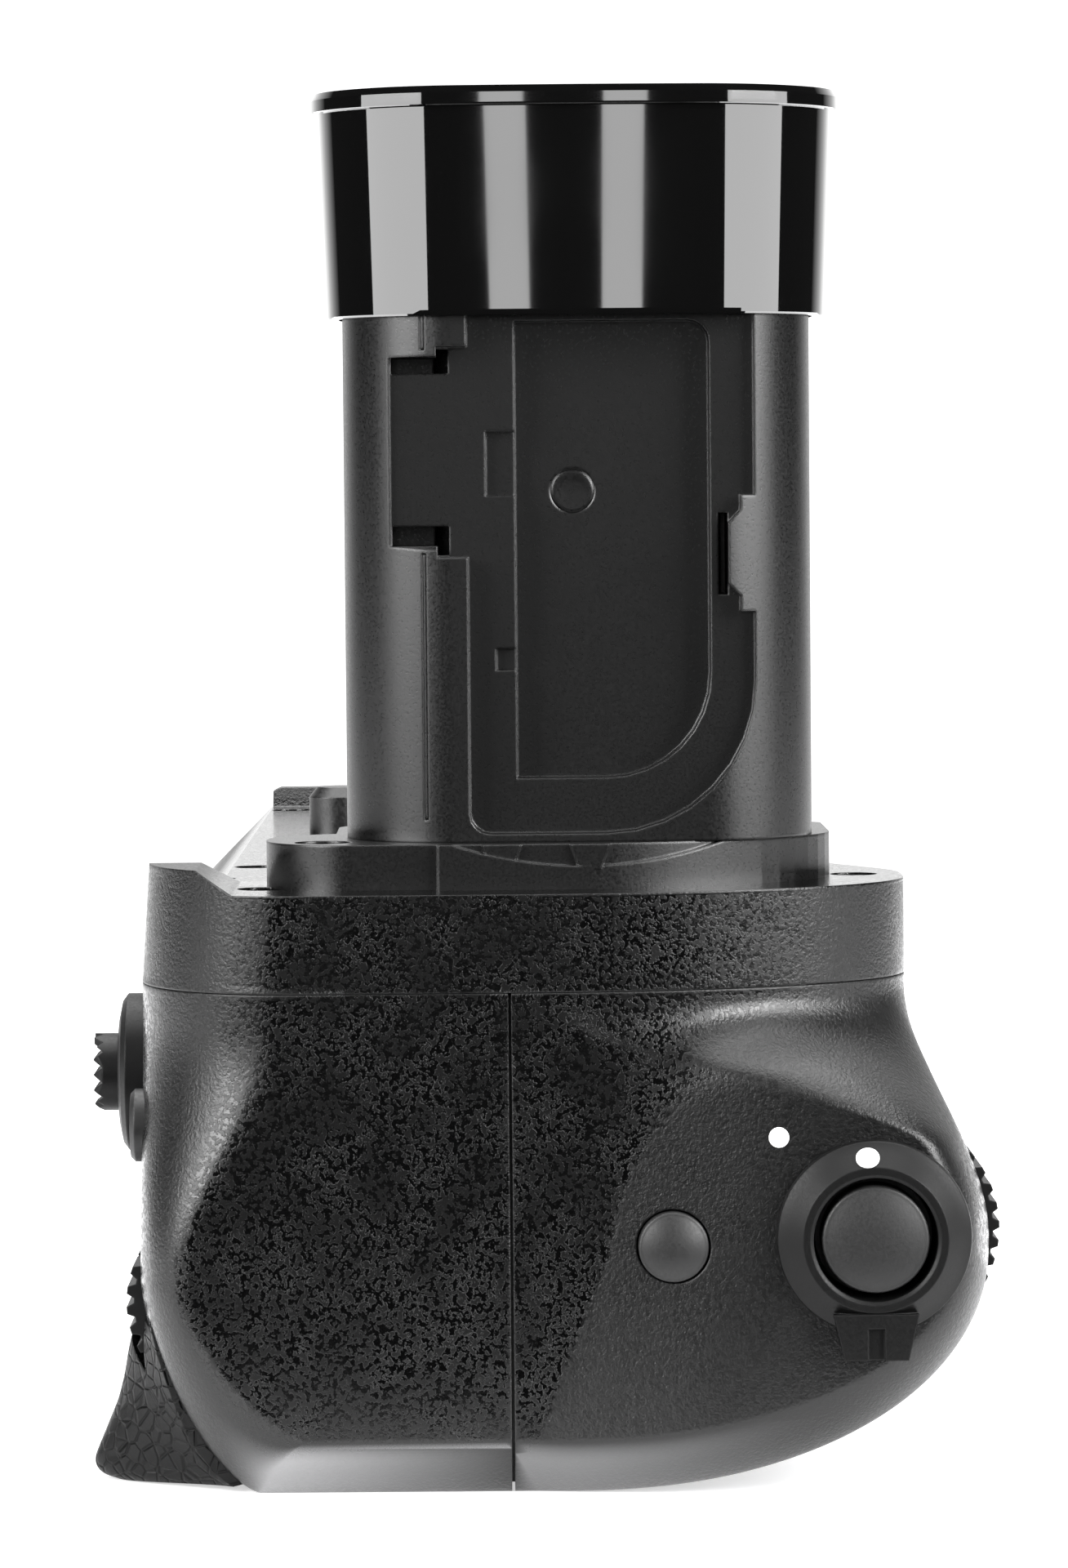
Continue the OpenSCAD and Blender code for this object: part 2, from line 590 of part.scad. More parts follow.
// Stalk
flange_x0 = stalk_x0 - 2;
flange_x1 = stalk_x1 + 6;
ear_hole = [flange_x0 + 4.4, stalk_y + stalk_w / 2 + 2];
flange_screw_points = [ear_hole, [flange_x1 - 3, stalk_y - 13], [flange_x1 - 3, stalk_y + 9]];
// Front part of the flange: flat on the left, bowed back to the right
bow_x0 = flange_x0 - 1;
bow_len = 15.6;
bow_y0 = stalk_y + 12.4;
bow_y1 = stalk_y + 1;
bow_y2 = stalk_y - stalk_w / 2 - 1.7;
module bow_plan(grow) {
    side = bow_y1 - bow_y2 + grow;
    polygon(concat([[flange_x1 + grow, bow_y0 + grow], [bow_x0 - grow, bow_y0 + grow]],
        [for (a = [0 : 6 : 90]) [bow_x0 - grow + (bow_len + grow) * (1 - pow(cos(a), 1.1)),
            bow_y1 - side * pow(sin(a), 1.1)]],
        [[flange_x1 - 2, bow_y2 - grow], [flange_x1 + grow, bow_y2 + 2]]));
}
// Flange seen from above, grown sideways
module flange_plan(grow) {
    left = stalk_y + stalk_w / 2 + 1.1 + grow;
    ear = stalk_y + stalk_w / 2 + 7 + grow;
    bow_plan(grow);
    translate([(flange_x0 + flange_x1) / 2, (left + stalk_y - 6) / 2])
        soft_rect(flange_x1 - flange_x0 + 2 * grow, left - stalk_y + 6, 4);
    translate([flange_x0 + 8.5, (ear + stalk_y - 6) / 2]) soft_rect(17 + 2 * grow, ear - stalk_y + 6, 8);
}
module stalk_flange() {
    color("#232324") difference() {
        translate([0, 0, seat_h - seat_inlay]) linear_extrude(flange_h + seat_inlay) flange_plan(0);
        translate([ear_hole[0], ear_hole[1], seat_h + 1.6]) cylinder(h = 9, r = 2.45);
        for (p = flange_screw_points) translate([p[0], p[1], seat_h - 1]) cylinder(h = 9, r = 1.3);
        for (p = flange_screw_points) translate([p[0], p[1], seat_h + 2.4]) cylinder(h = 9, r = 2.1);
        box([ribbon_x - 2, stalk_y - 8, seat_h - 1], [ribbon_x + 2, stalk_y + 8, stalk_z0 + 1]);
        // Shallow finger scoop in the front top edge, following the bow
        difference() {
            in_x([bow_x0 - 1, stalk_y - 0.5, stalk_z0 + 35.5]) cylinder(h = 5, r = 37.4, $fn = 96);
            translate([0, 0, seat_h - 9]) linear_extrude(30) bow_plan(-0.7);
        }
    }
    // Two wedges left standing in the scoop
    for (d = [-1.6, 6]) color("#232324")
        prism_x(bow_x0 + 0.1, bow_x0 + 0.9, [[stalk_y + d, stalk_z0 - 2.2], [stalk_y + d + 1.8,
            stalk_z0 - 2.2],
            [stalk_y + d + 2.6, stalk_z0], [stalk_y + d - 0.8, stalk_z0]]);
}

module flange_screws() {
    for (p = flange_screw_points) color("#4a4a4a") translate([p[0], p[1], 0]) difference() {
        union() {
            translate([0, 0, seat_h + 2.4]) cylinder(h = 1.2, r = 1.9);
            translate([0, 0, roof_z + 0.2]) cylinder(h = roof + 2.6, r = 1.2);
        }
        for (a = [0, 90]) rotate(a) box([-1.3, -0.25, seat_h + 3.1], [1.3, 0.25, seat_h + 6]);
    }
}

// Stalk outline and its hollow, stood on the flange
module stalk_block(w, d, z0, z1, r) {
    translate([stalk_mid_x, stalk_y, z0]) soft_block(d, w, z1 - z0, r);
}
module stalk_hollow() {
    box([stalk_x0 + store_back, stalk_y - stalk_in_w / 2, stalk_z0 - 1],
        [stalk_x1 - stalk_wall, stalk_y + stalk_in_w / 2, stalk_z1 + 1]);
}
function arc(cy, cz, r, a0, a1, n) = [for (i = [0 : n]) let (a = mix(a0, a1, i / n)) [cy + r * cos(a),
    cz + r * sin(a)]];

// Places in the door store keep their share of the stalk's width and height
function store_y(v) = stalk_y + v * stalk_w / 40.9;
function store_z(v) = stalk_z0 + v * (stalk_z1 - stalk_z0) / 61.4;
module store_box(y0, z0, y1, z1, depth) {
    box([stalk_x0 - 1, store_y(y0), store_z(z0)], [stalk_x0 + depth, store_y(y1), store_z(z1)]);
}
module store_recess() {
    face = stalk_x0 - 1;
    // Outer step with the wide hinge pocket
    prism_x(face, stalk_x0 + store_depth, concat(
        [[store_y(9.6), store_z(50.5)], [store_y(-15.24), store_z(50.5)]],
        arc(store_y(-15.24) + 13, store_z(0) + 13.7, 13, 180, 270, 8),
        arc(store_y(9.6) - 1.8, store_z(0) + 2.5, 1.8, 270, 360, 4),
        [[store_y(9.6), store_z(25)], [store_y(16.3), store_z(25.6)], [store_y(16.3), store_z(41.9)],
            [store_y(9.6), store_z(42)]]));
    // Inner pocket
    prism_x(face, stalk_x0 + store_depth + pocket_depth, concat(
        [[store_y(5.46), store_z(45)]],
        arc(store_y(-11.4) + 1.8, store_z(45) - 1.8, 1.8, 90, 180, 4),
        arc(store_y(-11.4) + 9, store_z(5.4) + 9, 9, 180, 270, 8),
        [[store_y(5.46), store_z(5.4)]]));
    // Hinge slots through the shell, stepped at their inner ends
    slot_depth = store_back + 2.5;
    store_box(9.4, 41.5, 12.2, 42.8, store_depth);
    store_box(9.4, 24.6, 12.2, 25.8, store_depth);
    store_box(11.2, 40.5, 16.1, 41.9, slot_depth);
    store_box(11.2, 40.5, 12.2, 42.6, slot_depth);
    store_box(11.2, 25.6, 16.1, 27.3, slot_depth);
    store_box(11.2, 24.8, 12.2, 27.3, slot_depth);
    // Slot beside the latch lip
    store_box(-12.9, 21.2, -12.1, 28.3, slot_depth);
    // Moulding seam down the left flank
    store_box(13.2, 42.5, 13.5, 62, 0.8);
    store_box(13.2, 2, 13.5, 25, 0.8);
    // Dished moulding mark
    in_x([stalk_x0 + store_depth + pocket_depth - 0.01, store_y(0.46), store_z(30.3)])
        cylinder(h = 0.5, r1 = 2.05, r2 = 1.1);
    // Two shallow tab pockets
    store_box(5.2, 29.9, 8, 35.5, store_depth + 1);
    store_box(5.2, 14.8, 7.2, 16.7, store_depth + 1);
}

module stalk_front_shell() {
    color("#262627") {
        difference() {
            stalk_block(stalk_w, stalk_t, stalk_z0, stalk_z1, stalk_r);
            box([stalk_split_x, -90, 0], [stalk_x1 + 9, 90, 300]);
            stalk_hollow();
            store_recess();
        }
        // Latch lip, a tongue of the outer surface at the right side of the recess
        intersection() {
            stalk_block(stalk_w, stalk_t, stalk_z0, stalk_z1, stalk_r);
            prism_x(stalk_x0 - 1, stalk_x0 + store_depth + 0.1, [for (p = [[-15.6, 19.8], [-14, 19.8],
                [-14, 21.1], [-12.9, 22.2], [-12.9, 27.4], [-14, 28.5], [-14, 29.8], [-15.6, 29.8]])
                [store_y(p[0]), store_z(p[1])]]);
        }
        // Pip in the middle of the moulding mark
        out_x([stalk_x0 + store_depth + pocket_depth + 0.6, store_y(0.46), store_z(30.3)])
            cylinder(h = 0.4, r = 0.45);
    }
}

module stalk_rear_shell() {
    color("#252526") difference() {
        stalk_block(stalk_w, stalk_t, stalk_z0, stalk_z1, stalk_r);
        box([stalk_x0 - 9, -90, 0], [stalk_split_x, 90, 300]);
        stalk_hollow();
    }
}

module stalk_contact_block() {
    color("#1a1a1b") box([stalk_x0 + store_back, stalk_y - stalk_in_w / 2, stalk_z1 - 8],
        [stalk_x1 - stalk_wall, stalk_y + stalk_in_w / 2, stalk_z1]);
}

module stalk_contacts() {
    color("#c9a64a") for (i = [-2 : 2]) box([stalk_split_x + 0.5, stalk_y + i * 5 - 1.4, stalk_z1],
        [stalk_split_x + 6.5, stalk_y + i * 5 + 1.4, stalk_z1 + 0.4]);
}

module stalk_ribbon() {
    color("#b06a20") box([ribbon_x - 0.15, stalk_y - 6, main_board_z + board_t], [ribbon_x + 0.15,
        stalk_y + 6, stalk_z1 - 8]);
}

// Cap over the stalk top: rounded rings joined into a flared cup
function cap_ring(w, d, r, z) = [for (q = [0 : 3]) for (i = [0 : 8]) let (a = q * 90 + i * 90 / 8,
    sx = (q == 0 || q == 3) ? 1 : -1, sy = (q < 2) ? 1 : -1)
    [stalk_mid_x + sx * (d / 2 - r) + r * cos(a), stalk_y + sy * (w / 2 - r) + r * sin(a), z]];
module stalk_cap() {
    foot = 2.6;
    w = stalk_w;
    d = stalk_t;
    rows = [cap_ring(w + foot - 0.6, d + foot - 0.6, stalk_r + 1, cap_z0), cap_ring(w + foot, d + foot,
        stalk_r + 1.3, cap_z0 + 0.4),
        cap_ring(w + foot + 1.3, d + foot + 1.3, stalk_r + 1.9, cap_z1 - 1.9),
        cap_ring(w + foot + 2.6, d + foot + 2.6, stalk_r + 2.5, cap_z1 - 1.5),
        cap_ring(w + foot + 2.6, d + foot + 2.6, stalk_r + 2.5, cap_z1 - 0.4),
        cap_ring(w + foot + 1.8, d + foot + 1.8, stalk_r + 2.1, cap_z1)];
    n = len(rows[0]);
    m = len(rows);
    color("#0c0c0d") difference() {
        polyhedron(points = [for (r = rows) each r], faces = concat(
            [[for (i = [0 : n - 1]) i]],
            [for (r = [0 : m - 2]) for (i = [0 : n - 1]) [r * n + i, (r + 1) * n + i, (r + 1) * n + (i + 1)
                % n]],
            [for (r = [0 : m - 2]) for (i = [0 : n - 1]) [r * n + i, (r + 1) * n + (i + 1) % n,
                r * n + (i + 1) % n]],
            [[for (i = [n - 1 : -1 : 0]) (m - 1) * n + i]]));
        stalk_block(w + 2 * cap_play, d + 2 * cap_play, cap_z0 - 1, cap_z1 - 2, stalk_r + cap_play);
    }
}

// Camera fastening
module camera_screw() {
    color("#9a9a9a") {
        translate([0, 0, wheel_z0]) cylinder(h = wheel_t + 1, r = screw_r);
        // Relieved neck, so that the screw stays captive
        translate([0, 0, wheel_z1]) cylinder(h = seat_h + 0.5 - wheel_z1, r = screw_r - 0.5);
        translate([0, 0, seat_h + 0.2]) cylinder(h = screw_up - 1, r = screw_r);
        translate([0, 0, seat_h + screw_up - 0.8]) cylinder(h = 0.8, r1 = screw_r, r2 = screw_r - 0.8);
        translate([0, 0, wheel_z1]) cylinder(h = roof_z - wheel_z1 - 0.3, r = screw_r + 3);
    }
}

module attachment_wheel() {
    color("#202021") difference() {
        translate([0, 0, wheel_z0]) linear_extrude(wheel_t) polygon(tooth_outline(wheel_r, 0.5, 96, 0.22,
            0.34));
        translate([0, 0, wheel_z0 - 1]) cylinder(h = wheel_t + 2, r = screw_r);
        for (a = [0 : 60 : 300]) rotate(a) translate([15, 0, wheel_z0 - 1]) cylinder(h = wheel_t + 2,
            r = 5);
    }
}

module wheel_washer() {
    color("#b8b8b0") translate([0, 0, sleeve_z1]) difference() {
        cylinder(h = wheel_z0 - sleeve_z1 - 0.1, r = 9);
        translate([0, 0, -1]) cylinder(h = 9, r = screw_r + 0.6);
    }
}

module locating_pin() {
    color("#8a8a8a") translate([pin_x, pin_y, 0]) {
        translate([0, 0, roof_z - pin_root]) cylinder(h = pin_root + roof, r = pin_r - 0.6);
        translate([0, 0, seat_h - seat_inlay]) cylinder(h = seat_inlay, r = pin_r + 0.5);
        translate([0, 0, seat_h]) cylinder(h = pin_up - 1, r = pin_r);
        translate([0, 0, seat_h + pin_up - 1]) cylinder(h = 1, r1 = pin_r, r2 = pin_r - 0.8);
    }
}

// Shutter end controls; heights are measured outward from the platform
shutter_stem = board_x - boss_x - 2.7 - shutter_travel;
module shutter_button() {
    color("#242425") out_x([boss_x, lever_y, lever_z]) rotate_extrude() polygon(concat(
        [[0, -shutter_stem], [2.4, -shutter_stem], [2.4, -0.1], [shutter_r, -0.1], [shutter_r, 2.1],
            [shutter_r - 0.35, 2.5]],
        [for (i = [1 : 5]) [(shutter_r - 0.35) * (1 - i / 5), 2.5 - 0.35 * (1 - pow(1 - i / 5, 2))]]));
}

module lock_lever() {
    color("#232324") out_x([boss_x, lever_y, lever_z]) {
        difference() {
            rotate_extrude() polygon([[lever_in, -3.6], [hub_r, -3.6], [hub_r, 0.3], [lever_r + 0.4, 0.3],
                [lever_r + 0.3, 0.9], [lever_r, 1.1], [lever_in + 0.9, 2.6], [lever_in + 0.3, 2.6],
                    [lever_in, 2.4]]);
            // Wedge notch in the sloping top
            rotate(-45) translate([lever_r + 0.4, 0, 2.2]) cylinder(h = 3, r1 = 0.9, r2 = 1.8);
        }
        // Thumb tab with two ribs
        difference() {
            linear_extrude(2.7) polygon([[-lever_r + 1.6, -3.6], [-lever_r - 2.3, -2.7], [-lever_r - 2.3,
                2.7], [-lever_r + 1.6, 3.6]]);
            translate([0, 0, -1]) cylinder(h = 1.3, r = lever_r + 6);
            translate([0, 0, 2.2]) box([-lever_r - 5, -0.7, 0], [-lever_r + 0.4, 0.7, 3]);
            cylinder(h = 9, r = lever_in + 0.5);
        }
    }
}

module lever_clip() {
    color("#a0a0a0") out_x([boss_x, lever_y, lever_z]) translate([0, 0, -wall - 1.1]) difference() {
        cylinder(h = 0.8, r = hub_r + 1.7);
        translate([0, 0, -1]) cylinder(h = 3, r = hub_r);
    }
}

module button_guide() {
    color("#2e2e30") difference() {
        in_x([boss_x + shutter_travel + 0.2, lever_y, lever_z])
            cylinder(h = board_x - boss_x - shutter_travel - 0.2, r = lever_in - 0.25);
        in_x([boss_x, lever_y, lever_z]) cylinder(h = 9, r = 2.5);
        in_x([boss_x + shutter_travel + 1.6, lever_y, lever_z]) cylinder(h = 9, r = 4.2);
    }
}

function_stem = board_x - function_x - 1.9;
module function_button() {
    color("#262627") out_x([function_x, function_y, function_z]) rotate_extrude() polygon(
        [[0, -function_stem], [1.2, -function_stem], [1.2, -3.2], [function_r + 0.8, -3.2],
            [function_r + 0.8, -wall - 0.3], [function_r, -wall - 0.3],
         [function_r, 0.5], [function_r - 0.3, 0.85], [function_r / 2, 1.15], [0, 1.25]]);
}

module control_board() {
    color("#1f5a34") prism_x(board_x, board_x + board_t, [[function_y + 10.4 * d_share, 12 * h_share],
        [lever_y - 1.6 * d_share, 12 * h_share], [lever_y - 1.6 * d_share, 28 * h_share],
        [lever_y + 6.4 * d_share, 36 * h_share], [function_y + 10.4 * d_share, 36 * h_share]]);
}

module control_switches() {
    color("#b0b0b0") {
        box([board_x - 2, lever_y - 2.8, lever_z - 2.8], [board_x, lever_y + 2.8, lever_z + 2.8]);
        out_x([board_x - 1.9, lever_y, lever_z]) cylinder(h = 0.6, r = 1.5);
        box([board_x - 1, function_y - 2.5, function_z - 2.5], [board_x, function_y + 2.5,
            function_z + 2.5]);
        out_x([board_x - 0.9, function_y, function_z]) cylinder(h = 0.4, r = 1.2);
    }
}

// Dials on cross axles
module dial(p, r, n, h) {
    in_x(p) difference() {
        linear_extrude(dial_w) polygon(tooth_outline(r, h, n, 0.2, 0.34));
        translate([0, 0, -1]) cylinder(h = dial_w + 2, r = axle_r + axle_play);
    }
}
module yoke_arm(x0, x1, p, back) {
    side = p[1] > back ? 1 : -1;
    root = back - 0.7 * side;
    difference() {
        prism_x(x0, x1, [[root, p[2] - 4.5], [p[1], p[2] - 2.6], [p[1] + 1.8 * side, p[2]], [p[1],
            p[2] + 2.6], [root, p[2] + 4.5]]);
        in_x([x0 - 1, p[1], p[2]]) cylinder(h = x1 - x0 + 2, r = axle_r);
    }
}
sub_point = [dial_x, sub_y, sub_z];
main_point = [dial_x, main_y, main_z];
axle_x0 = dial_x - yoke_arm_t;
axle_l = dial_w + 2 * yoke_arm_t;

module sub_dial() { color("#202021") dial(sub_point, sub_dial_r, 38, 0.55); }
module sub_dial_axle() { color("#b5b5b5") in_x([axle_x0, sub_y, sub_z]) cylinder(h = axle_l, r = axle_r); }
module sub_dial_yoke() {
    back = sub_y + sub_dial_r + 0.6;
    color("#333335") {
        yoke_arm(board_x + board_t, dial_x - 0.4, sub_point, back);
        yoke_arm(dial_x + dial_w + 0.4, dial_x + dial_w + yoke_arm_t, sub_point, back);
        box([board_x + board_t, back, sub_z - 4.5], [dial_x + dial_w + yoke_arm_t, back + 1.4,
            sub_z + 4.5]);
    }
}
module main_dial() { color("#202021") dial(main_point, main_dial_r, 31, 0.65); }
module main_dial_axle() { color("#b5b5b5") in_x([axle_x0, main_y, main_z]) cylinder(h = axle_l,
    r = axle_r); }
module main_dial_yoke() {
    back = main_y - main_dial_r - 0.6;
    color("#333335") {
        yoke_arm(dial_x - yoke_arm_t, dial_x - 0.4, main_point, back);
        yoke_arm(dial_x + dial_w + 0.4, dial_x + dial_w + yoke_arm_t, main_point, back);
        box([dial_x - yoke_arm_t, back - 1.4, main_z - 4.5], [dial_x + dial_w + yoke_arm_t, back,
            main_z + 4.5]);
        box([dial_x + 5.4, back - 1.4, wall], [dial_x + dial_w + yoke_arm_t, back, main_z]);
    }
}

// Rear controls; heights are measured outward from the rear wall
focus_stem = rear_depth - rear_board_y - board_t - 3.4;
module focus_button() {
    color("#262627") out_y([focus_x, rear_depth, focus_z]) rotate_extrude() polygon(
        [[0, -focus_stem], [1.2, -focus_stem], [1.2, -3.4], [focus_r + 0.8, -3.4], [focus_r + 0.8,
            -wall - 0.4], [focus_r, -wall - 0.4],
         [focus_r, 0.6], [focus_r - 0.4, 1], [0, 1.1]]);
}

module joystick_base() {
    color("#1f1f20") out_y([joy_x, rear_depth, joy_z]) rotate_extrude() polygon(
        [[joy_hole, -wall], [joy_base_r - 0.8, -wall], [joy_base_r - 0.8, 0], [joy_base_r, 0], [joy_base_r,
            1.8],
         [joy_base_r - 0.6, 2.25], [joy_hole + 0.4, 2.55], [joy_hole, 2.4]]);
}
joy_hole = joy_cap_r + 1.15;

module joystick_cap() {
    color("#1c1c1d") out_y([joy_x, joy_pivot_y, joy_z]) {
        translate([0, 0, -1]) cylinder(h = 7, r = 1.5);
        difference() {
            translate([0, 0, 5.8]) cylinder(h = 3, r = joy_cap_r);
            // Saw cuts that leave rows of small points
            for (i = [-2 : 2]) for (a = [0, 90]) rotate(a) translate([0, i * 1.35 + 0.675, 8])
                rotate([90, 0, 90]) linear_extrude(20, center = true) polygon([[0, 0], [0.675, 0.9],
                    [-0.675, 0.9]]);
        }
        for (s = [-1, 1]) rotate([s * 90, 0, 0]) cylinder(h = 3.8, r = 0.5);
    }
}

module joystick_gimbal() {
    color("#999999") out_y([joy_x, joy_pivot_y, joy_z]) {
        difference() {
            translate([0, 0, -0.7]) cylinder(h = 1.4, r = 4);
            translate([0, 0, -3]) cylinder(h = 6, r = 2.9);
            rotate([90, 0, 0]) translate([0, 0, -6]) cylinder(h = 12, r = 0.55);
        }
        for (s = [-1, 1]) rotate([0, s * 90, 0]) translate([0, 0, 3.5]) cylinder(h = 1.7, r = 0.5);
    }
}

module joystick_carrier() {
    color("#3b3b3d") out_y([joy_x, joy_pivot_y, joy_z]) difference() {
        translate([0, 0, -2.2]) cylinder(h = 3.6, r = 5.3);
        translate([0, 0, -1.5]) cylinder(h = 9, r = 4.3);
        rotate([0, 90, 0]) translate([0, 0, -9]) cylinder(h = 18, r = 0.55);
    }
}

module joystick_housing() {
    color("#2b2b2d") out_y([joy_x, rear_board_y + board_t, joy_z]) difference() {
        cylinder(h = rear_depth - wall - rear_board_y - board_t, r = 6.2);
        translate([0, 0, 1]) cylinder(h = 20, r = 5.36);
    }
}

module rear_board() {
    color("#1f5a34") box([focus_x - 5 * d_share, rear_board_y, focus_z - 3.5 * h_share],
        [joy_x + 8 * d_share, rear_board_y + board_t, joy_z + 6.7 * h_share]);
}

module focus_switch() {
    color("#b0b0b0") {
        box([focus_x - 2.5, rear_board_y + board_t, focus_z - 2.5], [focus_x + 2.5,
            rear_board_y + board_t + 2.3, focus_z + 2.5]);
        out_y([focus_x, rear_board_y + board_t + 2.2, focus_z]) cylinder(h = 0.5, r = 1.2);
    }
}

// Power pack
main_board_z = sleeve_z1 + 2;
main_board_x0 = near_x + 20 * l_share;
main_board_x1 = -wheel_r - 3;
module battery_chamber() {
    color("#2a2a2c") difference() {
        union() {
            box([sleeve_x0, sleeve_y0, sleeve_z0], [sleeve_x1, sleeve_y1, sleeve_z1]);
            // Rim that the tray cover closes against
            box([sleeve_x1 - 1.6, tray_mid_y - cover_w / 2 - 0.1, tray_mid_z - cover_h / 2 - 0.1],
                [sleeve_x1, tray_mid_y + cover_w / 2 + 0.1, tray_mid_z + cover_h / 2 + 0.1]);
            for (p = foot_points) translate([p[0], p[1], wall]) cylinder(h = sleeve_z0 - wall + 0.5, r = 3);
            // Rest for the rear board
            box([joy_x - 2 * d_share, sleeve_y1 - 0.5, focus_z - 1.9 * h_share], [joy_x + 6 * d_share,
                rear_board_y, sleeve_z1]);
            for (x = [main_board_x0 + 2, main_board_x1 - 2]) for (y = [sleeve_y0 + 3.2, sleeve_y1 - 5.2])
                translate([x, y, sleeve_z1 - 0.5]) cylinder(h = main_board_z - sleeve_z1 + 0.5, r = 2);
        }
        box([sleeve_in_x, tray_mid_y - sleeve_in_w / 2, tray_z0 - tray_play],
            [sleeve_x1 + 1, tray_mid_y + sleeve_in_w / 2, tray_z0 + tray_h + tray_play]);
        for (p = foot_points) translate([p[0], p[1], wall - 1]) cylinder(h = sleeve_z0 - 3.8, r = 1.25);
    }
}

module chamber_contacts() {
    color("#c9a64a") for (i = [-1.5 : 1 : 1.5]) box([sleeve_in_x, tray_mid_y + i * 7 - 2, tray_mid_z - 4],
        [sleeve_in_x + 0.5, tray_mid_y + i * 7 + 2, tray_mid_z + 4]);
}

module battery_tray() {
    color("#2f2f31") difference() {
        box([tray_x0, tray_mid_y - tray_w / 2, tray_z0], [tray_x1, tray_mid_y + tray_w / 2,
            tray_z0 + tray_h]);
        for (i = [0, 1]) translate([tray_x0 + tray_end_wall + i * (bay_l + tray_end_wall),
            tray_mid_y - bay_w / 2, tray_z0 + tray_wall])
            cube([bay_l, bay_w, bay_h + 1]);
    }
}

module tray_contacts() {
    color("#c9a64a") for (i = [-1.5 : 1 : 1.5]) box([tray_x0 - 0.5, tray_mid_y + i * 7 - 2, tray_mid_z - 4],
        [tray_x0, tray_mid_y + i * 7 + 2, tray_mid_z + 4]);
}

// Cover plate of the tray, hollow behind for the latch dog
module tray_cover() {
    color("#1e1e1f") in_x([tray_x1, tray_mid_y, tray_mid_z]) difference() {
        soft_block(cover_h, cover_w, cover_t, 1);
        translate([0, 0, -1]) cylinder(h = 2.4, r = dog_len / 2 + 0.4);
        cylinder(h = 9, r = 2.55);
    }
}

module tray_seal() {
    color("#101010") in_x([tray_x1 - 0.6, tray_mid_y, tray_mid_z]) difference() {
        soft_block(cover_h - 1, cover_w - 1, 0.6, 3);
        translate([0, 0, -1]) linear_extrude(3) square([tray_h, tray_w], center = true);
    }
}

module latch_knob() {
    color("#262627") in_x([far_x + 0.2, tray_mid_y, tray_mid_z]) {
        cylinder(h = 1, r = knob_r);
        translate([-1.8, -knob_r + 0.6, 0.9]) cube([3.6, 2 * knob_r - 1.2, 2]);
        translate([0, 0, tray_x1 - far_x]) cylinder(h = far_x - tray_x1 + 0.1, r = 2.5);
    }
}

module latch_dog() {
    color("#a8a8a8") in_x([tray_x1 + 0.2, tray_mid_y, tray_mid_z]) difference() {
        linear_extrude(1) soft_rect(6, dog_len, 2);
        translate([0, 0, -1]) cylinder(h = 4, r = 2.5);
    }
}

module main_board() {
    color("#1f5a34") box([main_board_x0, sleeve_y0 + 1.2, main_board_z], [main_board_x1, sleeve_y1 - 2.8,
        main_board_z + board_t]);
}

top_cover();
front_cover();
rear_cover();
front_grip_rubber();
thumb_rest_rubber();
tripod_socket();
base_screws();
top_screws();
stalk_flange();
flange_screws();
stalk_front_shell();
stalk_rear_shell();
stalk_contact_block();
stalk_contacts();
stalk_ribbon();
stalk_cap();
camera_screw();
attachment_wheel();
wheel_washer();
locating_pin();
shutter_button();
lock_lever();
lever_clip();
button_guide();
function_button();
control_board();
control_switches();
sub_dial();
sub_dial_axle();
sub_dial_yoke();
main_dial();
main_dial_axle();
main_dial_yoke();
focus_button();
joystick_base();
joystick_cap();
joystick_gimbal();
joystick_carrier();
joystick_housing();
rear_board();
focus_switch();
battery_chamber();
chamber_contacts();
battery_tray();
tray_contacts();
tray_cover();
tray_seal();
latch_knob();
latch_dog();
main_board();
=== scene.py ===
"""Looks of a camera battery grip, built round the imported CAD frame.

Lengths are in millimetres unless named otherwise.
"""

import json
import math

import bmesh
import bpy
import numpy as np
from mathutils import Matrix, Vector


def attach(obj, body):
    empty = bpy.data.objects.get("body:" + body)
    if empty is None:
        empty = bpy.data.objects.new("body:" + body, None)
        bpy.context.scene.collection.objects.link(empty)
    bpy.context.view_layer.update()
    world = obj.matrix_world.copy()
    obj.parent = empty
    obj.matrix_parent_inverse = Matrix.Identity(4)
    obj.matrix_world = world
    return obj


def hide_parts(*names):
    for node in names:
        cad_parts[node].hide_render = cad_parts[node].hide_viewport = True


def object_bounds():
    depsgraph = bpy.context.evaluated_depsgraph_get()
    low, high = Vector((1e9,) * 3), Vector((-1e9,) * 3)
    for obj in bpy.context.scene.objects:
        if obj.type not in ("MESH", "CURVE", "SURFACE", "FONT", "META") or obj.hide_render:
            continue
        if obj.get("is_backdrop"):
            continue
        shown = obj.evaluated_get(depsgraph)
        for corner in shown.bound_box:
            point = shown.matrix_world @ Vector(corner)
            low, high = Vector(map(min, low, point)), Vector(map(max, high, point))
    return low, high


MM = 0.001

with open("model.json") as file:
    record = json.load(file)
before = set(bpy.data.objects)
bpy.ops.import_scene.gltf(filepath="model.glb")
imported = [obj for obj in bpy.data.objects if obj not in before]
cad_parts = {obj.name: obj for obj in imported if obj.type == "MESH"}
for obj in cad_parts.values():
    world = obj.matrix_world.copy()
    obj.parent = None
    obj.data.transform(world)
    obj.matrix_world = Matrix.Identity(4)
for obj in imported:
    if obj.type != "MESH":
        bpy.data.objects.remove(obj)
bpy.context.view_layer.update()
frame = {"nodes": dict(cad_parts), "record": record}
nodes = frame["nodes"]

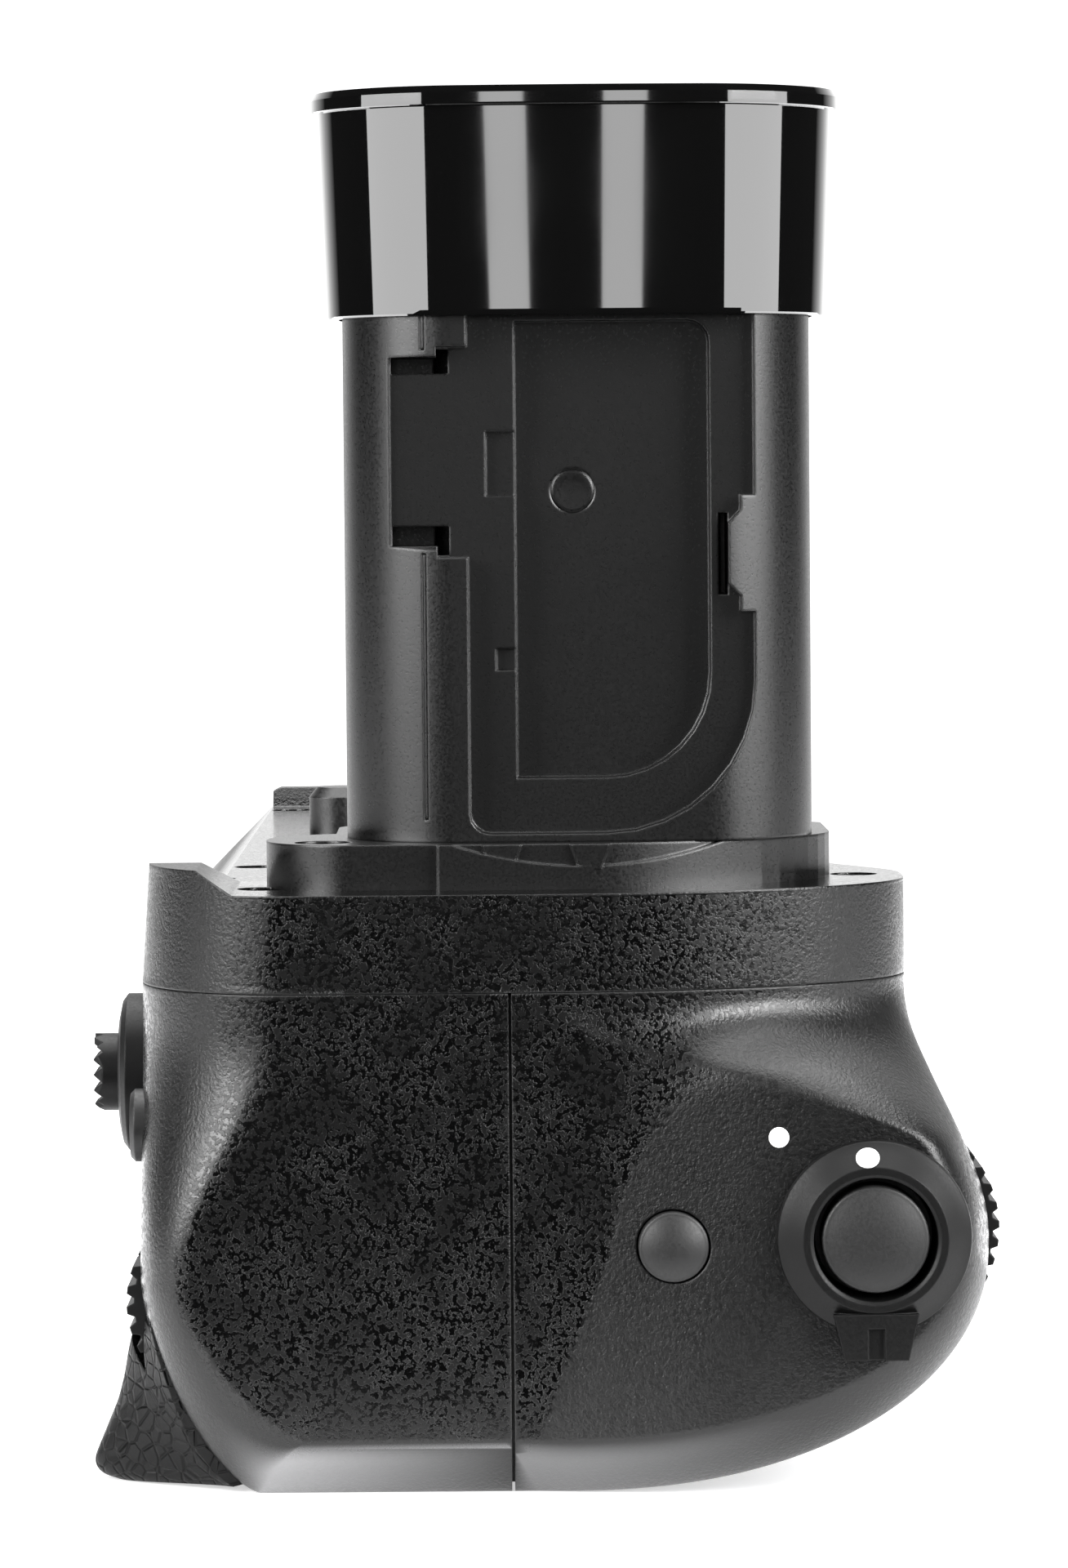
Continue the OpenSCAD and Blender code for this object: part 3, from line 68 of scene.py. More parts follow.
# Sizes of the housing, most of them the CAD part's
NEAR_X, FAR_X = -70.0, 73.0
SEAT_Z, SEAM_Z, ROOF_Z, EAR_Z = 51.7, 43.3, 49.3, 53.7
REAR_Y, FRONT_Y, NOSE, NOSE_Z = 25.4, 41.6, 6.4, 21.5
NOSE_TOP = SEAM_Z - 0.8
HAND_BACK = 6.6
REAR_LEAN = 0.7
SPLIT_Y = -6.7
WALL = 2.2
RUBBER = 1.2
FLARE = 4.6
FAR_ROUND = 6.0
LOW_EDGE_IN, LOW_EDGE_UP, LOW_EDGE_POWER = 4.0, 5.0, 1.25
REAR_CORNER_W, REAR_CORNER_Z, REAR_CORNER_POWER = 9.7, 18.0, 1.5
SWEEP_NEAR, SWEEP_FAR, SWEEP_POWER = 38.5, 6.0, 2.2

# Raised shutter platform: its height, the lengths of its slopes, its leaning left edge and its arched crest
BOSS_RISE, BOSS_CLIMB, BOSS_FLANK, BOSS_FADE = 3.0, 16.0, 5.0, 18.0
BOSS_LEFT, BOSS_LEAN, BOSS_LEAN_Z = 30.9, 0.265, 14.0
BOSS_ARC_Y, BOSS_ARC_Z, BOSS_ARC_R = -29.5, 20.5, 16.9
BOSS_SOFT_START, BOSS_SOFT_TOP, BOSS_SOFT_CREST = 0.16, 0.3, 1.2
BOSS_X = NEAR_X - BOSS_RISE

# Places of the controls and of the stalk
LEVER_Y, LEVER_Z = -FRONT_Y + 4.2, 22.6
FUNCTION_Y, FUNCTION_Z = LEVER_Y + 16.95, 21.7
SUB_Y, SUB_Z = -FRONT_Y - NOSE - 1 + 10, 21.9
MAIN_Y, MAIN_Z = REAR_Y + 1.3 - 8.8, 16.0
DIAL_X0, DIAL_X1 = NEAR_X + 8, NEAR_X + 15
FOCUS_X, FOCUS_Z = NEAR_X + 13, 30.9
JOY_X, JOY_Z = NEAR_X + 24, 34.5
STALK_X, STALK_Y, STALK_T = -50.5, -13.06, 22.0
STALK_FRONT = STALK_X - STALK_T / 2
STORE_DEPTH, POCKET_DEPTH = 2.5, 2.8
POCKET_X = STALK_FRONT + STORE_DEPTH + POCKET_DEPTH

# Reach of the cutters sideways and below the base, and points round a turned piece
BEYOND, BELOW = 99, -9
ROUND_POINTS = 96


# Small shape helpers
def ease(t):
    """Smooth step from 0 to 1."""
    c = np.clip(t, 0, 1)
    return c * c * (3 - 2 * c)


def mix(a, b, t):
    return a + (b - a) * t


def corner_in(d, a, b, power=2.0):
    """How far a rounding of length a and depth b draws in, at a distance d from the end."""
    q = np.clip(1 - np.maximum(d, 0) / a, 0, 1)
    return b * (1 - np.maximum(0, 1 - q ** power) ** (1 / power))


def soft_max(a, b, k):
    """Larger of two values, with the change from one to the other rounded over k."""
    h = np.maximum(k - np.abs(a - b), 0) / k
    return np.maximum(a, b) + h * h * k / 4


def nose_at(x):
    """How far the nose stands out: less under the rubber, and fading out behind it."""
    full = mix(NOSE, NOSE - RUBBER - 0.2, ease((x - NEAR_X - 13) / 6))
    return full * (1 - ease((x - NEAR_X - 26) / 30))


def hand_at(x):
    """How far the front wall lies back behind the nose."""
    return HAND_BACK * ease((x - NEAR_X - 24) / 18)


def rear_at(x, z, w):
    """Y of the rear wall, w inside the surface."""
    t = ease((z - 20) / 20)
    near = corner_in(x - NEAR_X - w, mix(8, 16, t), mix(5, 14, t))
    lean = REAR_LEAN * np.maximum(0, (z - SEAM_Z) / (EAR_Z - SEAM_Z))
    return REAR_Y - w - lean - near - corner_in(FAR_X - w - x, FAR_ROUND, FAR_ROUND)


def front_at(x, z, w):
    """Y of the front wall with the nose, w inside the surface."""
    t = ease((z - 30) / 12)
    near = corner_in(x - NEAR_X - w, mix(9, 19, t), mix(4, 32, t))
    bulge = nose_at(x) * (1 - ease((z - NOSE_Z) / (NOSE_TOP - NOSE_Z)))
    return w - FRONT_Y + hand_at(x) - bulge + near + corner_in(FAR_X - w - x, FAR_ROUND, 1.6)


def base_at(x, w):
    """Z of the base, raised at the rounded ends."""
    near = corner_in(x - NEAR_X - w, LOW_EDGE_IN, LOW_EDGE_UP, LOW_EDGE_POWER)
    return w + near + corner_in(FAR_X - w - x, FAR_ROUND / 2, FAR_ROUND / 2)


def sweep_points(x, w, a):
    """Swept underside from the nose to the base, at angles a."""
    y0, z0 = front_at(x, NOSE_Z, w), base_at(x, w)
    length = mix(SWEEP_FAR, SWEEP_NEAR, nose_at(x) / NOSE)
    y = y0 + length * (1 - np.cos(a) ** (2 / SWEEP_POWER))
    return np.stack([y, z0 + (NOSE_Z - z0) * (1 - np.sin(a) ** (2 / SWEEP_POWER))], 1)


def corner_points(x, w, a):
    """Rounded lower rear edge, from the base to the rear wall."""
    y0, z0 = rear_at(x, REAR_CORNER_Z, w), base_at(x, w)
    y = y0 - REAR_CORNER_W + REAR_CORNER_W * np.sin(a) ** (2 / REAR_CORNER_POWER)
    z = REAR_CORNER_Z - (REAR_CORNER_Z - z0) * np.cos(a) ** (2 / REAR_CORNER_POWER)
    return np.stack([y, z], 1)


def quarter(n):
    """Angles of a quarter turn, kept just under its end."""
    return np.clip(np.linspace(0, math.pi / 2, n + 1), 0, math.pi / 2 - 1e-9)


def section(x, w, top, k):
    """Outline of the housing across X, from the top of the front wall to the top of the rear wall."""
    z_front = np.linspace(top, NOSE_Z, 14 * k + 1)
    z_rear = np.linspace(REAR_CORNER_Z, top, 12 * k + 1)[1:]
    return np.concatenate([
        np.stack([front_at(x, z_front, w), z_front], 1),
        sweep_points(x, w, quarter(16 * k))[1:],
        corner_points(x, w, quarter(10 * k)),
        np.stack([rear_at(x, z_rear, w), z_rear], 1)])


def boss_edges(y, z):
    """Distances past the left edge and past the arched crest of the raised shutter platform."""
    left = y + FRONT_Y - BOSS_LEFT + BOSS_LEAN * (z - BOSS_LEAN_Z)
    over = z - BOSS_ARC_Z
    arc = np.hypot(y - BOSS_ARC_Y, np.maximum(over, 0)) - BOSS_ARC_R + 0.6 * np.minimum(over, 0)
    return left, arc


def boss_points(x, w, p):
    """Points of the near end, moved out by the raised shutter platform."""
    left, arc = boss_edges(p[:, 0], p[:, 1])
    fall = np.clip(soft_max(arc, 0, BOSS_SOFT_CREST) / BOSS_FLANK, 0, 1)
    climb = -soft_max(left / BOSS_CLIMB, -1, BOSS_SOFT_TOP)
    share = soft_max(climb, 0, BOSS_SOFT_START) * (1 - fall) ** 2
    fade = 1 - ease((x - NEAR_X - w) / BOSS_FADE)
    return np.stack([x - BOSS_RISE * share * fade, p[:, 0], p[:, 1]], 1)


# Mesh helpers
def mesh_object(name, points, faces):
    mesh = bpy.data.meshes.new(name)
    mesh.from_pydata([tuple(p) for p in np.asarray(points) * MM], [], [tuple(f) for f in faces])
    work = bmesh.new()
    work.from_mesh(mesh)
    bmesh.ops.recalc_face_normals(work, faces=work.faces)
    work.to_mesh(mesh)
    work.free()
    thing = bpy.data.objects.new(name, mesh)
    bpy.context.scene.collection.objects.link(thing)
    return thing


def ring_faces(rows, n):
    return [(r * n + i, (r + 1) * n + i, (r + 1) * n + (i + 1) % n, r * n + (i + 1) % n)
            for r in range(rows - 1) for i in range(n)]


def ring_solid(name, rings):
    """Closed solid through rings of equal length, its two ends filled flat."""
    n = len(rings[0])
    m = len(rings)
    faces = ring_faces(m, n)
    faces.append(tuple(range(n)))
    faces.append(tuple(range((m - 1) * n, m * n)))
    return mesh_object(name, np.concatenate(rings), faces)


def box(low, high):
    x0, y0, z0 = low
    x1, y1, z1 = high
    rings = [np.array([(x0, y0, z), (x1, y0, z), (x1, y1, z), (x0, y1, z)]) for z in (z0, z1)]
    return ring_solid("cutter", rings)


def placed(axis, a, b, level):
    """Points from two sideways values and a level along the axis."""
    level = np.full(len(a), float(level))
    order = {"x": (level, a, b), "y": (a, level, b), "z": (a, b, level)}[axis]
    return np.stack(order, 1)


def prism(axis, low, high, outline):
    o = np.array(outline, float)
    return ring_solid("cutter", [placed(axis, o[:, 0], o[:, 1], v) for v in (low, high)])


def full_turn(n):
    return np.linspace(0, 2 * math.pi, n, endpoint=False)


def drum(axis, centre, radius, low, high):
    t = full_turn(ROUND_POINTS)
    a, b = centre[0] + radius * np.cos(t), centre[1] + radius * np.sin(t)
    return ring_solid("cutter", [placed(axis, a, b, v) for v in (low, high)])


def cut_out(thing, tools):
    """Cuts the tools out of the thing and removes them."""
    for tool in tools:
        step = thing.modifiers.new("step", "BOOLEAN")
        step.operation = "DIFFERENCE"
        step.solver = "MANIFOLD"
        step.object = tool
    bpy.context.view_layer.update()
    solid = thing.evaluated_get(bpy.context.evaluated_depsgraph_get())
    mesh = bpy.data.meshes.new_from_object(solid)
    thing.modifiers.clear()
    old = thing.data
    thing.data = mesh
    bpy.data.meshes.remove(old)
    for tool in tools:
        bpy.data.objects.remove(tool)


def smooth(thing, degrees=30):
    mesh = thing.data
    mesh.polygons.foreach_set("use_smooth", [True] * len(mesh.polygons))
    mesh.set_sharp_from_angle(angle=math.radians(degrees))


def body_form(name, w, top, k):
    """Lofted housing, w inside the outer surface, up to a height; k sets how fine it is."""
    near = (1 - np.cos(np.linspace(0, math.pi / 2, 12 * k + 1))) * BOSS_FADE
    far = (1 - np.cos(np.linspace(0, math.pi / 2, 6 * k + 1))) * FAR_ROUND
    middle = np.linspace(NEAR_X + w + BOSS_FADE, FAR_X - w - FAR_ROUND, 24 * k)[1:-1]
    xs = np.concatenate([NEAR_X + w + near, middle, FAR_X - w - far[::-1]])
    centre = np.array([2.0, 27.0])
    outline = section(xs[0], w, top, k)
    scales = np.linspace(0, 1, 26 * k + 1)[1:-1]
    rings = [boss_points(xs[0], w, centre + (outline - centre) * s) for s in scales]
    rings += [boss_points(x, w, section(x, w, top, k)) for x in xs]
    n = len(outline)
    m = len(rings)
    points = np.concatenate(rings + [boss_points(xs[0], w, centre[None]), [[FAR_X - w, *centre]]])
    faces = ring_faces(m, n)
    faces += [(n * m, i, (i + 1) % n) for i in range(n)]
    faces += [(n * m + 1, (m - 1) * n + (i + 1) % n, (m - 1) * n + i) for i in range(n)]
    return mesh_object(name, points, faces)


# Material helpers; the Mix node's colour sockets have these numbers
COLOUR_A, COLOUR_B, COLOUR_OUT = 6, 7, 2


class Graph:
    """Short way to write a procedural material."""

    def __init__(self, name):
        self.material = bpy.data.materials.new(name)
        self.material.use_nodes = True
        self.tree = self.material.node_tree
        self.shader = self.tree.nodes["Principled BSDF"]
        self.place = self.add("ShaderNodeTexCoord").outputs["Object"]

    def add(self, kind, **inputs):
        made = self.tree.nodes.new(kind)
        for key, value in inputs.items():
            self.set(made, key.replace("_", " "), value)
        return made

    def set(self, made, key, value):
        socket = made.inputs[key]
        if isinstance(value, bpy.types.NodeSocket):
            self.tree.links.new(value, socket)
        else:
            socket.default_value = value

    def noise(self, size, detail=2.0, roughness=0.5):
        made = self.add("ShaderNodeTexNoise", Vector=self.place, Scale=1 / (size * MM),
                        Detail=detail, Roughness=roughness)
        return made.outputs["Fac"]

    def cell_edges(self, size):
        """Distance from the nearest border between cells of a given size."""
        made = self.add("ShaderNodeTexVoronoi", Vector=self.place, Scale=1 / (size * MM))
        made.feature = "DISTANCE_TO_EDGE"
        return made.outputs["Distance"]

    def ramp(self, value, low, high, to_low=0.0, to_high=1.0):
        made = self.tree.nodes.new("ShaderNodeMapRange")
        made.interpolation_type = "SMOOTHSTEP"
        keys = ("Value", "From Min", "From Max", "To Min", "To Max")
        for key, item in zip(keys, (value, low, high, to_low, to_high)):
            self.set(made, key, item)
        return made.outputs["Result"]

    def maths(self, operation, a, b):
        made = self.tree.nodes.new("ShaderNodeMath")
        made.operation = operation
        for number, value in enumerate((a, b)):
            self.set(made, number, value)
        return made.outputs["Value"]

    def blend(self, share, a, b):
        made = self.tree.nodes.new("ShaderNodeMix")
        made.data_type = "RGBA"
        self.tree.links.new(share, made.inputs["Factor"])
        made.inputs[COLOUR_A].default_value = (*a, 1)
        made.inputs[COLOUR_B].default_value = (*b, 1)
        return made.outputs[COLOUR_OUT]

    def attribute(self, name):
        made = self.tree.nodes.new("ShaderNodeAttribute")
        made.attribute_name = name
        return made.outputs["Fac"]

    def relief(self, height, depth, edge=0.0):
        """Bump of a given depth in millimetres, over edges rounded in shading."""
        bump = self.add("ShaderNodeBump", Height=height, Distance=depth * MM, Strength=1.0)
        if edge:
            round_edge = self.tree.nodes.new("ShaderNodeBevel")
            round_edge.samples = 6
            round_edge.inputs["Radius"].default_value = edge * MM
            self.tree.links.new(round_edge.outputs["Normal"], bump.inputs["Normal"])
        self.tree.links.new(bump.outputs["Normal"], self.shader.inputs["Normal"])

    def surface(self, **inputs):
        for key, value in inputs.items():
            self.set(self.shader, key.replace("_", " "), value)
        return self.material


def grey(value):
    return (value, value, value * 1.01)


def grained(name, level, rough, grain=0.25, depth=0.02, edge=0.2, spread=0.25, specular=0.5):
    """Moulded plastic with a fine grain."""
    g = Graph(name)
    fine = g.noise(grain, 3)
    cloud = g.noise(9, 2)
    g.relief(fine, depth, edge=edge)
    return g.surface(Base_Color=g.blend(cloud, grey(level * (1 - spread)), grey(level * (1 + spread))),
                     Roughness=g.ramp(fine, 0.3, 0.7, rough - 0.05, rough + 0.05),
                     Specular_IOR_Level=specular)


def crinkle_paint(name):
    """Black paint with smooth pits.

    The satin attribute is 1 where it has few pits and 2 on the polished seat; the band attribute paints the
    lower edge lighter and metallic, a painted reflection of the floor.
    """
    g = Graph(name)
    satin = g.attribute("satin")
    bumps = g.noise(0.32, 2.5, 0.6)
    pits = g.ramp(g.noise(0.42, 3.0, 0.62), 0.455, 0.525)
    patches = g.ramp(g.noise(4.0, 2.0), 0.35, 0.65, 0.55, 1.0)
    marks = g.maths("MULTIPLY", g.maths("MULTIPLY", pits, patches), g.ramp(satin, 0, 1, 1.0, 0.3))
    height = g.maths("SUBTRACT", g.maths("MULTIPLY", bumps, g.ramp(satin, 0, 1, 1.0, 4.5)), marks)
    g.relief(height, 0.014, edge=0.25)
    rough = g.maths("SUBTRACT", g.ramp(satin, 0, 1, 0.33, 0.42), g.ramp(satin, 1, 2, 0.0, 0.3))
    # Painted reflection: the lower edge band gets a lighter colour and metallic, so it reflects the floor
    # more brightly
    painted_reflection_band = g.attribute("band")
    return g.surface(Base_Color=g.blend(painted_reflection_band, grey(0.001), grey(0.25)), Metallic=painted_reflection_band,
                     Roughness=g.maths("SUBTRACT", rough, g.maths("MULTIPLY", marks, 0.25)),
                     Specular_IOR_Level=0.42)


def leather_rubber(name):
    """Rubber moulded with leather folds, its creases painted darker as painted shade."""
    g = Graph(name)
    cushions = g.ramp(g.cell_edges(1.35), 0.0, 0.14)
    fine = g.noise(0.3, 2)
    g.relief(g.maths("ADD", cushions, g.maths("MULTIPLY", fine, 0.1)), 0.16, edge=0.3)
    # Painted shade: the base colour is darker along the creases between the cushions
    return g.surface(Base_Color=g.blend(cushions, grey(0.0008), grey(0.0025)),
                     Roughness=g.ramp(fine, 0.3, 0.7, 0.46, 0.56), Specular_IOR_Level=0.16)


def gloss(name):
    """Polished black plastic with faint dust and haze."""
    g = Graph(name)
    dust = g.noise(0.2, 2)
    haze = g.noise(12, 2)
    g.relief(g.noise(30, 1), 0.02)
    return g.surface(Base_Color=g.blend(dust, grey(0.0008), grey(0.0014)),
                     Roughness=g.ramp(haze, 0.3, 0.7, 0.03, 0.06), Specular_IOR_Level=1.0,
                     Coat_Weight=1.0, Coat_Roughness=0.03, Coat_IOR=1.9)


def metal(name, colour, rough):
    """Metal with a fine grain."""
    g = Graph(name)
    fine = g.noise(0.3, 3)
    g.relief(fine, 0.01, edge=0.15)
    dark = tuple(c * 0.8 for c in colour)
    return g.surface(Base_Color=g.blend(fine, dark, colour), Metallic=1.0,
                     Roughness=g.ramp(fine, 0.3, 0.7, rough - 0.06, rough + 0.06))


def flat_paint(name, colour, rough):
    """Even colour with a slight mottle."""
    g = Graph(name)
    fine = g.noise(0.3, 2)
    g.relief(fine, 0.004)
    dark = tuple(c * 0.94 for c in colour)
    return g.surface(Base_Color=g.blend(fine, dark, colour),
                     Roughness=g.ramp(fine, 0.3, 0.7, rough - 0.05, rough + 0.05))


paint = crinkle_paint("housing_crinkle")
rubber = leather_rubber("grip_leather")
stalk_plastic = grained("stalk_plastic", 0.001, 0.32, grain=0.22, depth=0.008, edge=0.3, specular=0.56)
cap_gloss = gloss("cap_gloss")
control_plastic = grained("control_plastic", 0.002, 0.46, grain=0.2, depth=0.008, edge=0.2, specular=0.2)
button_plastic = grained("button_plastic", 0.004, 0.5, grain=0.25, depth=0.008, edge=0.2)
inner_plastic = grained("inner_plastic", 0.03, 0.55, grain=0.4, depth=0.02)
seal_rubber = grained("seal_rubber", 0.004, 0.7, grain=0.3, depth=0.01)
washer_plastic = grained("washer_plastic", 0.5, 0.4, grain=0.4, depth=0.005, spread=0.06)
steel = metal("steel", (0.55, 0.55, 0.56), 0.32)
dark_steel = metal("dark_steel", (0.06, 0.06, 0.06), 0.4)
gold = metal("gold", (0.75, 0.56, 0.25), 0.25)
board_green = flat_paint("board_green", (0.04, 0.17, 0.075), 0.35)
film = flat_paint("ribbon_film", (0.4, 0.19, 0.04), 0.3)
white_paint = flat_paint("index_white", (0.9, 0.9, 0.9), 0.5)

LOOKS = {
    "housing_paint": paint, "grip_rubber": rubber, "seal_rubber": seal_rubber,
    "stalk_plastic": stalk_plastic, "cap_plastic": cap_gloss,
    "control_plastic": control_plastic, "inner_plastic": inner_plastic,
    "washer_plastic": washer_plastic, "steel": steel, "dark_screw": dark_steel, "contact_brass": gold,
    "board": board_green, "ribbon": film}
slot_of = {s["node"]: s["material_slot"] for s in frame["record"]["subparts"]}


def dress(thing, look):
    thing.data.materials.clear()
    thing.data.materials.append(look)


def finish_piece(thing, node, look, body="housing", degrees=30):
    """A rebuilt piece takes the place of its CAD node."""
    thing.name = node + "_skin"
    smooth(thing, degrees)
    dress(thing, look)
    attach(thing, body)
    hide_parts(node)


def add_piece(thing, name, look, body="housing"):
    """A small piece that the CAD part doesn't have."""
    thing.name = name
    smooth(thing)
    dress(thing, look)
    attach(thing, body)


# Looks of the CAD nodes, of which those that get a rebuilt piece below are hidden
CREASE_DEGREES, FLANGE_CREASE_DEGREES = 20, 5
for name, thing in nodes.items():
    if "custom_normal" in thing.data.attributes:
        thing.data.attributes.remove(thing.data.attributes["custom_normal"])
    thing.data.polygons.foreach_set("use_smooth", [True] * len(thing.data.polygons))
    weld = thing.modifiers.new("weld", "WELD")
    weld.merge_threshold = 2e-6
    split = thing.modifiers.new("creases", "EDGE_SPLIT")
    split.split_angle = math.radians(CREASE_DEGREES)
    dress(thing, LOOKS[slot_of[name]])
nodes["stalk_flange"].modifiers["creases"].split_angle = math.radians(FLANGE_CREASE_DEGREES)
dress(nodes["focus_button"], button_plastic)
dress(nodes["locating_pin"], dark_steel)


# Housing covers, rebuilt fine
TRAY_HOLE = ((66.6, -30.9, 9.1), (75, 16.3, 37.3))
KNOB_Y, KNOB_Z, KNOB_ROOM = -7.3, 23.2, 16.0
FEET = ((-46, 9), (-46, -1), (56, 9), (56, -1))
LEVER_HOLE, FUNCTION_HOLE, FOCUS_HOLE, JOY_HOLE = 6.4, 3.15, 3.35, 6.2
SUB_HOLE, MAIN_HOLE, REST_HOLE, DIAL_ROOM = 10.4, 9.2, 9.3, 0.5
FOOT_HOLE, SOCKET_HOLE = 2.5, 6.0


def cover_openings(front):
    """Cutters for the tray at the far end and for the controls of the front or the rear cover."""
    far = [box(*TRAY_HOLE), drum("x", (KNOB_Y, KNOB_Z), KNOB_ROOM, 70, 72)]
    if front:
        return far + [
            drum("x", (LEVER_Y, LEVER_Z), LEVER_HOLE, BOSS_X - 1, BOSS_X + 6),
            drum("x", (FUNCTION_Y, FUNCTION_Z), FUNCTION_HOLE, BOSS_X - 1, BOSS_X + 6),
            drum("x", (SUB_Y, SUB_Z), SUB_HOLE, DIAL_X0 - DIAL_ROOM, DIAL_X1 + DIAL_ROOM)]
    feet = [drum("z", p, FOOT_HOLE, -1, 1.3) for p in FEET]
    return far + feet + [
        drum("x", (MAIN_Y, MAIN_Z), MAIN_HOLE, DIAL_X0 - DIAL_ROOM, DIAL_X1 + DIAL_ROOM),
        box((-15.5, REAR_Y - WALL - 4, 36.8), (15.5, REAR_Y + 3, SEAM_Z + 1)),
        drum("y", (FOCUS_X, FOCUS_Z), FOCUS_HOLE, REAR_Y - 6, REAR_Y + 4),
        drum("y", (JOY_X, JOY_Z), JOY_HOLE, REAR_Y - 6, REAR_Y + 4),
        drum("z", (0, 0), SOCKET_HOLE, -1, 4)]


def keep_satin(thing):
    """Writes the two attributes that the paint reads.

    satin is 1 on the shutter platform and the roundings and 2 on the camera seat.
    band is the share of the light lower edge, which the paint makes lighter and metallic as a painted
    reflection of the floor.
    """
    mesh = thing.data
    count = len(mesh.vertices)
    co, normal = np.empty(count * 3), np.empty(count * 3)
    mesh.vertices.foreach_get("co", co)
    mesh.vertices.foreach_get("normal", normal)
    co, normal = co.reshape(-1, 3) / MM, np.abs(normal.reshape(-1, 3))
    inside = -soft_max(*boss_edges(co[:, 1], co[:, 2]), 10)
    platform = ease(inside / 1.2 + 0.6) * (co[:, 0] < NEAR_X + 20) * (co[:, 2] < SEAM_Z)
    rounding = ease((0.99 - np.maximum(normal[:, 0], normal[:, 1])) / 0.2)
    seat = 2 * (np.abs(co[:, 2] - SEAT_Z) < 0.05)
    # Mask of the painted reflection on the lower edge, half as strong on the front cover
    band = ease((normal[:, 2] - 0.3) / 0.25) * ease((0.6 - normal[:, 1]) / 0.5) * (co[:, 2] < 7)
    band *= ease((NEAR_X + 12 - co[:, 0]) / 4) * ease((co[:, 1] + 34) / 26)
    band *= np.where(co[:, 1] < SPLIT_Y, 0.5, 1)
    for key, value in (("satin", np.maximum(np.maximum(platform, rounding), seat)), ("band", band)):
        layer = mesh.attributes.new(key, "FLOAT", "POINT")
        layer.data.foreach_set("value", value.astype(np.float32))


def above(z):
    return box((-BEYOND, -BEYOND, z), (BEYOND, BEYOND, BEYOND))


def left_of(y):
    return box((-BEYOND, y, BELOW), (BEYOND, BEYOND, BEYOND))


def right_of(y):
    return box((-BEYOND, -BEYOND, BELOW), (BEYOND, y, BEYOND))


SEAM_GAP, SPLIT_GAP = 0.04, 0.13
FINE, COARSE = 4, 1
front = body_form("front", 0, EAR_Z, FINE)
cut_out(front, [body_form("cavity", WALL, ROOF_Z, COARSE), above(SEAM_Z - SEAM_GAP),
                left_of(SPLIT_Y - SPLIT_GAP)] + cover_openings(True))
keep_satin(front)
finish_piece(front, "front_cover", paint)

rear = body_form("rear", 0, EAR_Z, FINE)
cut_out(rear, [body_form("cavity", WALL, ROOF_Z, COARSE), above(SEAM_Z - SEAM_GAP),
               right_of(SPLIT_Y + SPLIT_GAP)] + cover_openings(False))
keep_satin(rear)
finish_piece(rear, "rear_cover", paint)

# Lip behind the split between the covers, which ends short of the tray latch
LIP_OUTSIDE, LIP_INSIDE, LIP_HALF, LIP_END_X = 0.6, 1.6, 0.8, 56
lip = body_form("lip", LIP_OUTSIDE, EAR_Z, COARSE)
cut_out(lip, [body_form("cutter", LIP_INSIDE, EAR_Z, COARSE), above(SEAM_Z - 0.3),
              right_of(SPLIT_Y - LIP_HALF), left_of(SPLIT_Y + LIP_HALF),
              box((LIP_END_X, -BEYOND, BELOW), (BEYOND, BEYOND, BEYOND))])
add_piece(lip, "split_lip", seal_rubber)

# Fillers in the moulding seam of the stalk, which leave a hairline; depth and Y of their outline
SEAM_LINE = [(0.79, 0.15), (0.43, 0.15), (0.53, 0.43), (0.79, 0.43)]
for name, low, high in (("seam_low", 57.7, 80.5), ("seam_high", 98.2, 116.8)):
    filler = prism("z", low, high, [(STALK_FRONT + x, y) for x, y in SEAM_LINE])
    add_piece(filler, name, stalk_plastic)

# Top cover, cut down to the camera seat between its raised edges
TOP_SCREWS = ((-48, -37.4), (62, -30.8), (-31, 16.2), (62, 16.2))
CUT_TOP, EAR_END_X = 56, -50.5
CURL_Y, CURL_W, CURL_H = 15.8, 3.8, 2.3
end_curl = [(CURL_Y + CURL_W * math.sin(a), SEAT_Z + CURL_H * math.cos(a)) for a in quarter(12)]
top = body_form("top", 0, EAR_Z, FINE)
cavity = body_form("cavity", WALL, ROOF_Z, COARSE)
cut_out(cavity, [prism("x", NEAR_X + 24, BEYOND, [(15.4, 51.7), (27.4, 39.7), (27.4, 52.7), (15.4, 52.7)])])
cut_out(top, [
    box((-BEYOND, -BEYOND, BELOW), (BEYOND, BEYOND, SEAM_Z + SEAM_GAP)), cavity,
    prism("y", -80, 80, [(-55, CUT_TOP), (-55, EAR_Z), (-51, SEAT_Z), (69, SEAT_Z), (70.4, 53.9), (90, 53.9),
                         (90, CUT_TOP)]),
    prism("x", -BEYOND, EAR_END_X, [(-90, SEAT_Z), (16.9, SEAT_Z), (20.1, EAR_Z), (20.1, CUT_TOP),
                                    (-90, CUT_TOP)]),
    prism("x", -44, BEYOND, [(18.5, SEAT_Z), (27.4, 42.8), (27.4, CUT_TOP), (18.5, CUT_TOP)]),
    prism("x", 61, BEYOND, [(CURL_Y, CUT_TOP)] + end_curl + [(35, SEAT_Z), (35, CUT_TOP)]),
    drum("z", (-60.3, 14.6), 2.2, SEAT_Z - 0.5, 60), drum("z", (-46.4, 18.4), 0.9, SEAT_Z - 0.5, 53),
    drum("z", (0, 0), 3.53, 40, 60)]
    + [drum("z", p, 2.1, SEAT_Z - 1.4, 60) for p in TOP_SCREWS])
keep_satin(top)
finish_piece(top, "top_cover", paint)


# Rubber skins
def skin(name, inner, outer):
    """Solid between two rows of lines."""
    rings = [np.concatenate([o, i[::-1]]) for i, o in zip(inner, outer)]
    return ring_solid(name, rings)


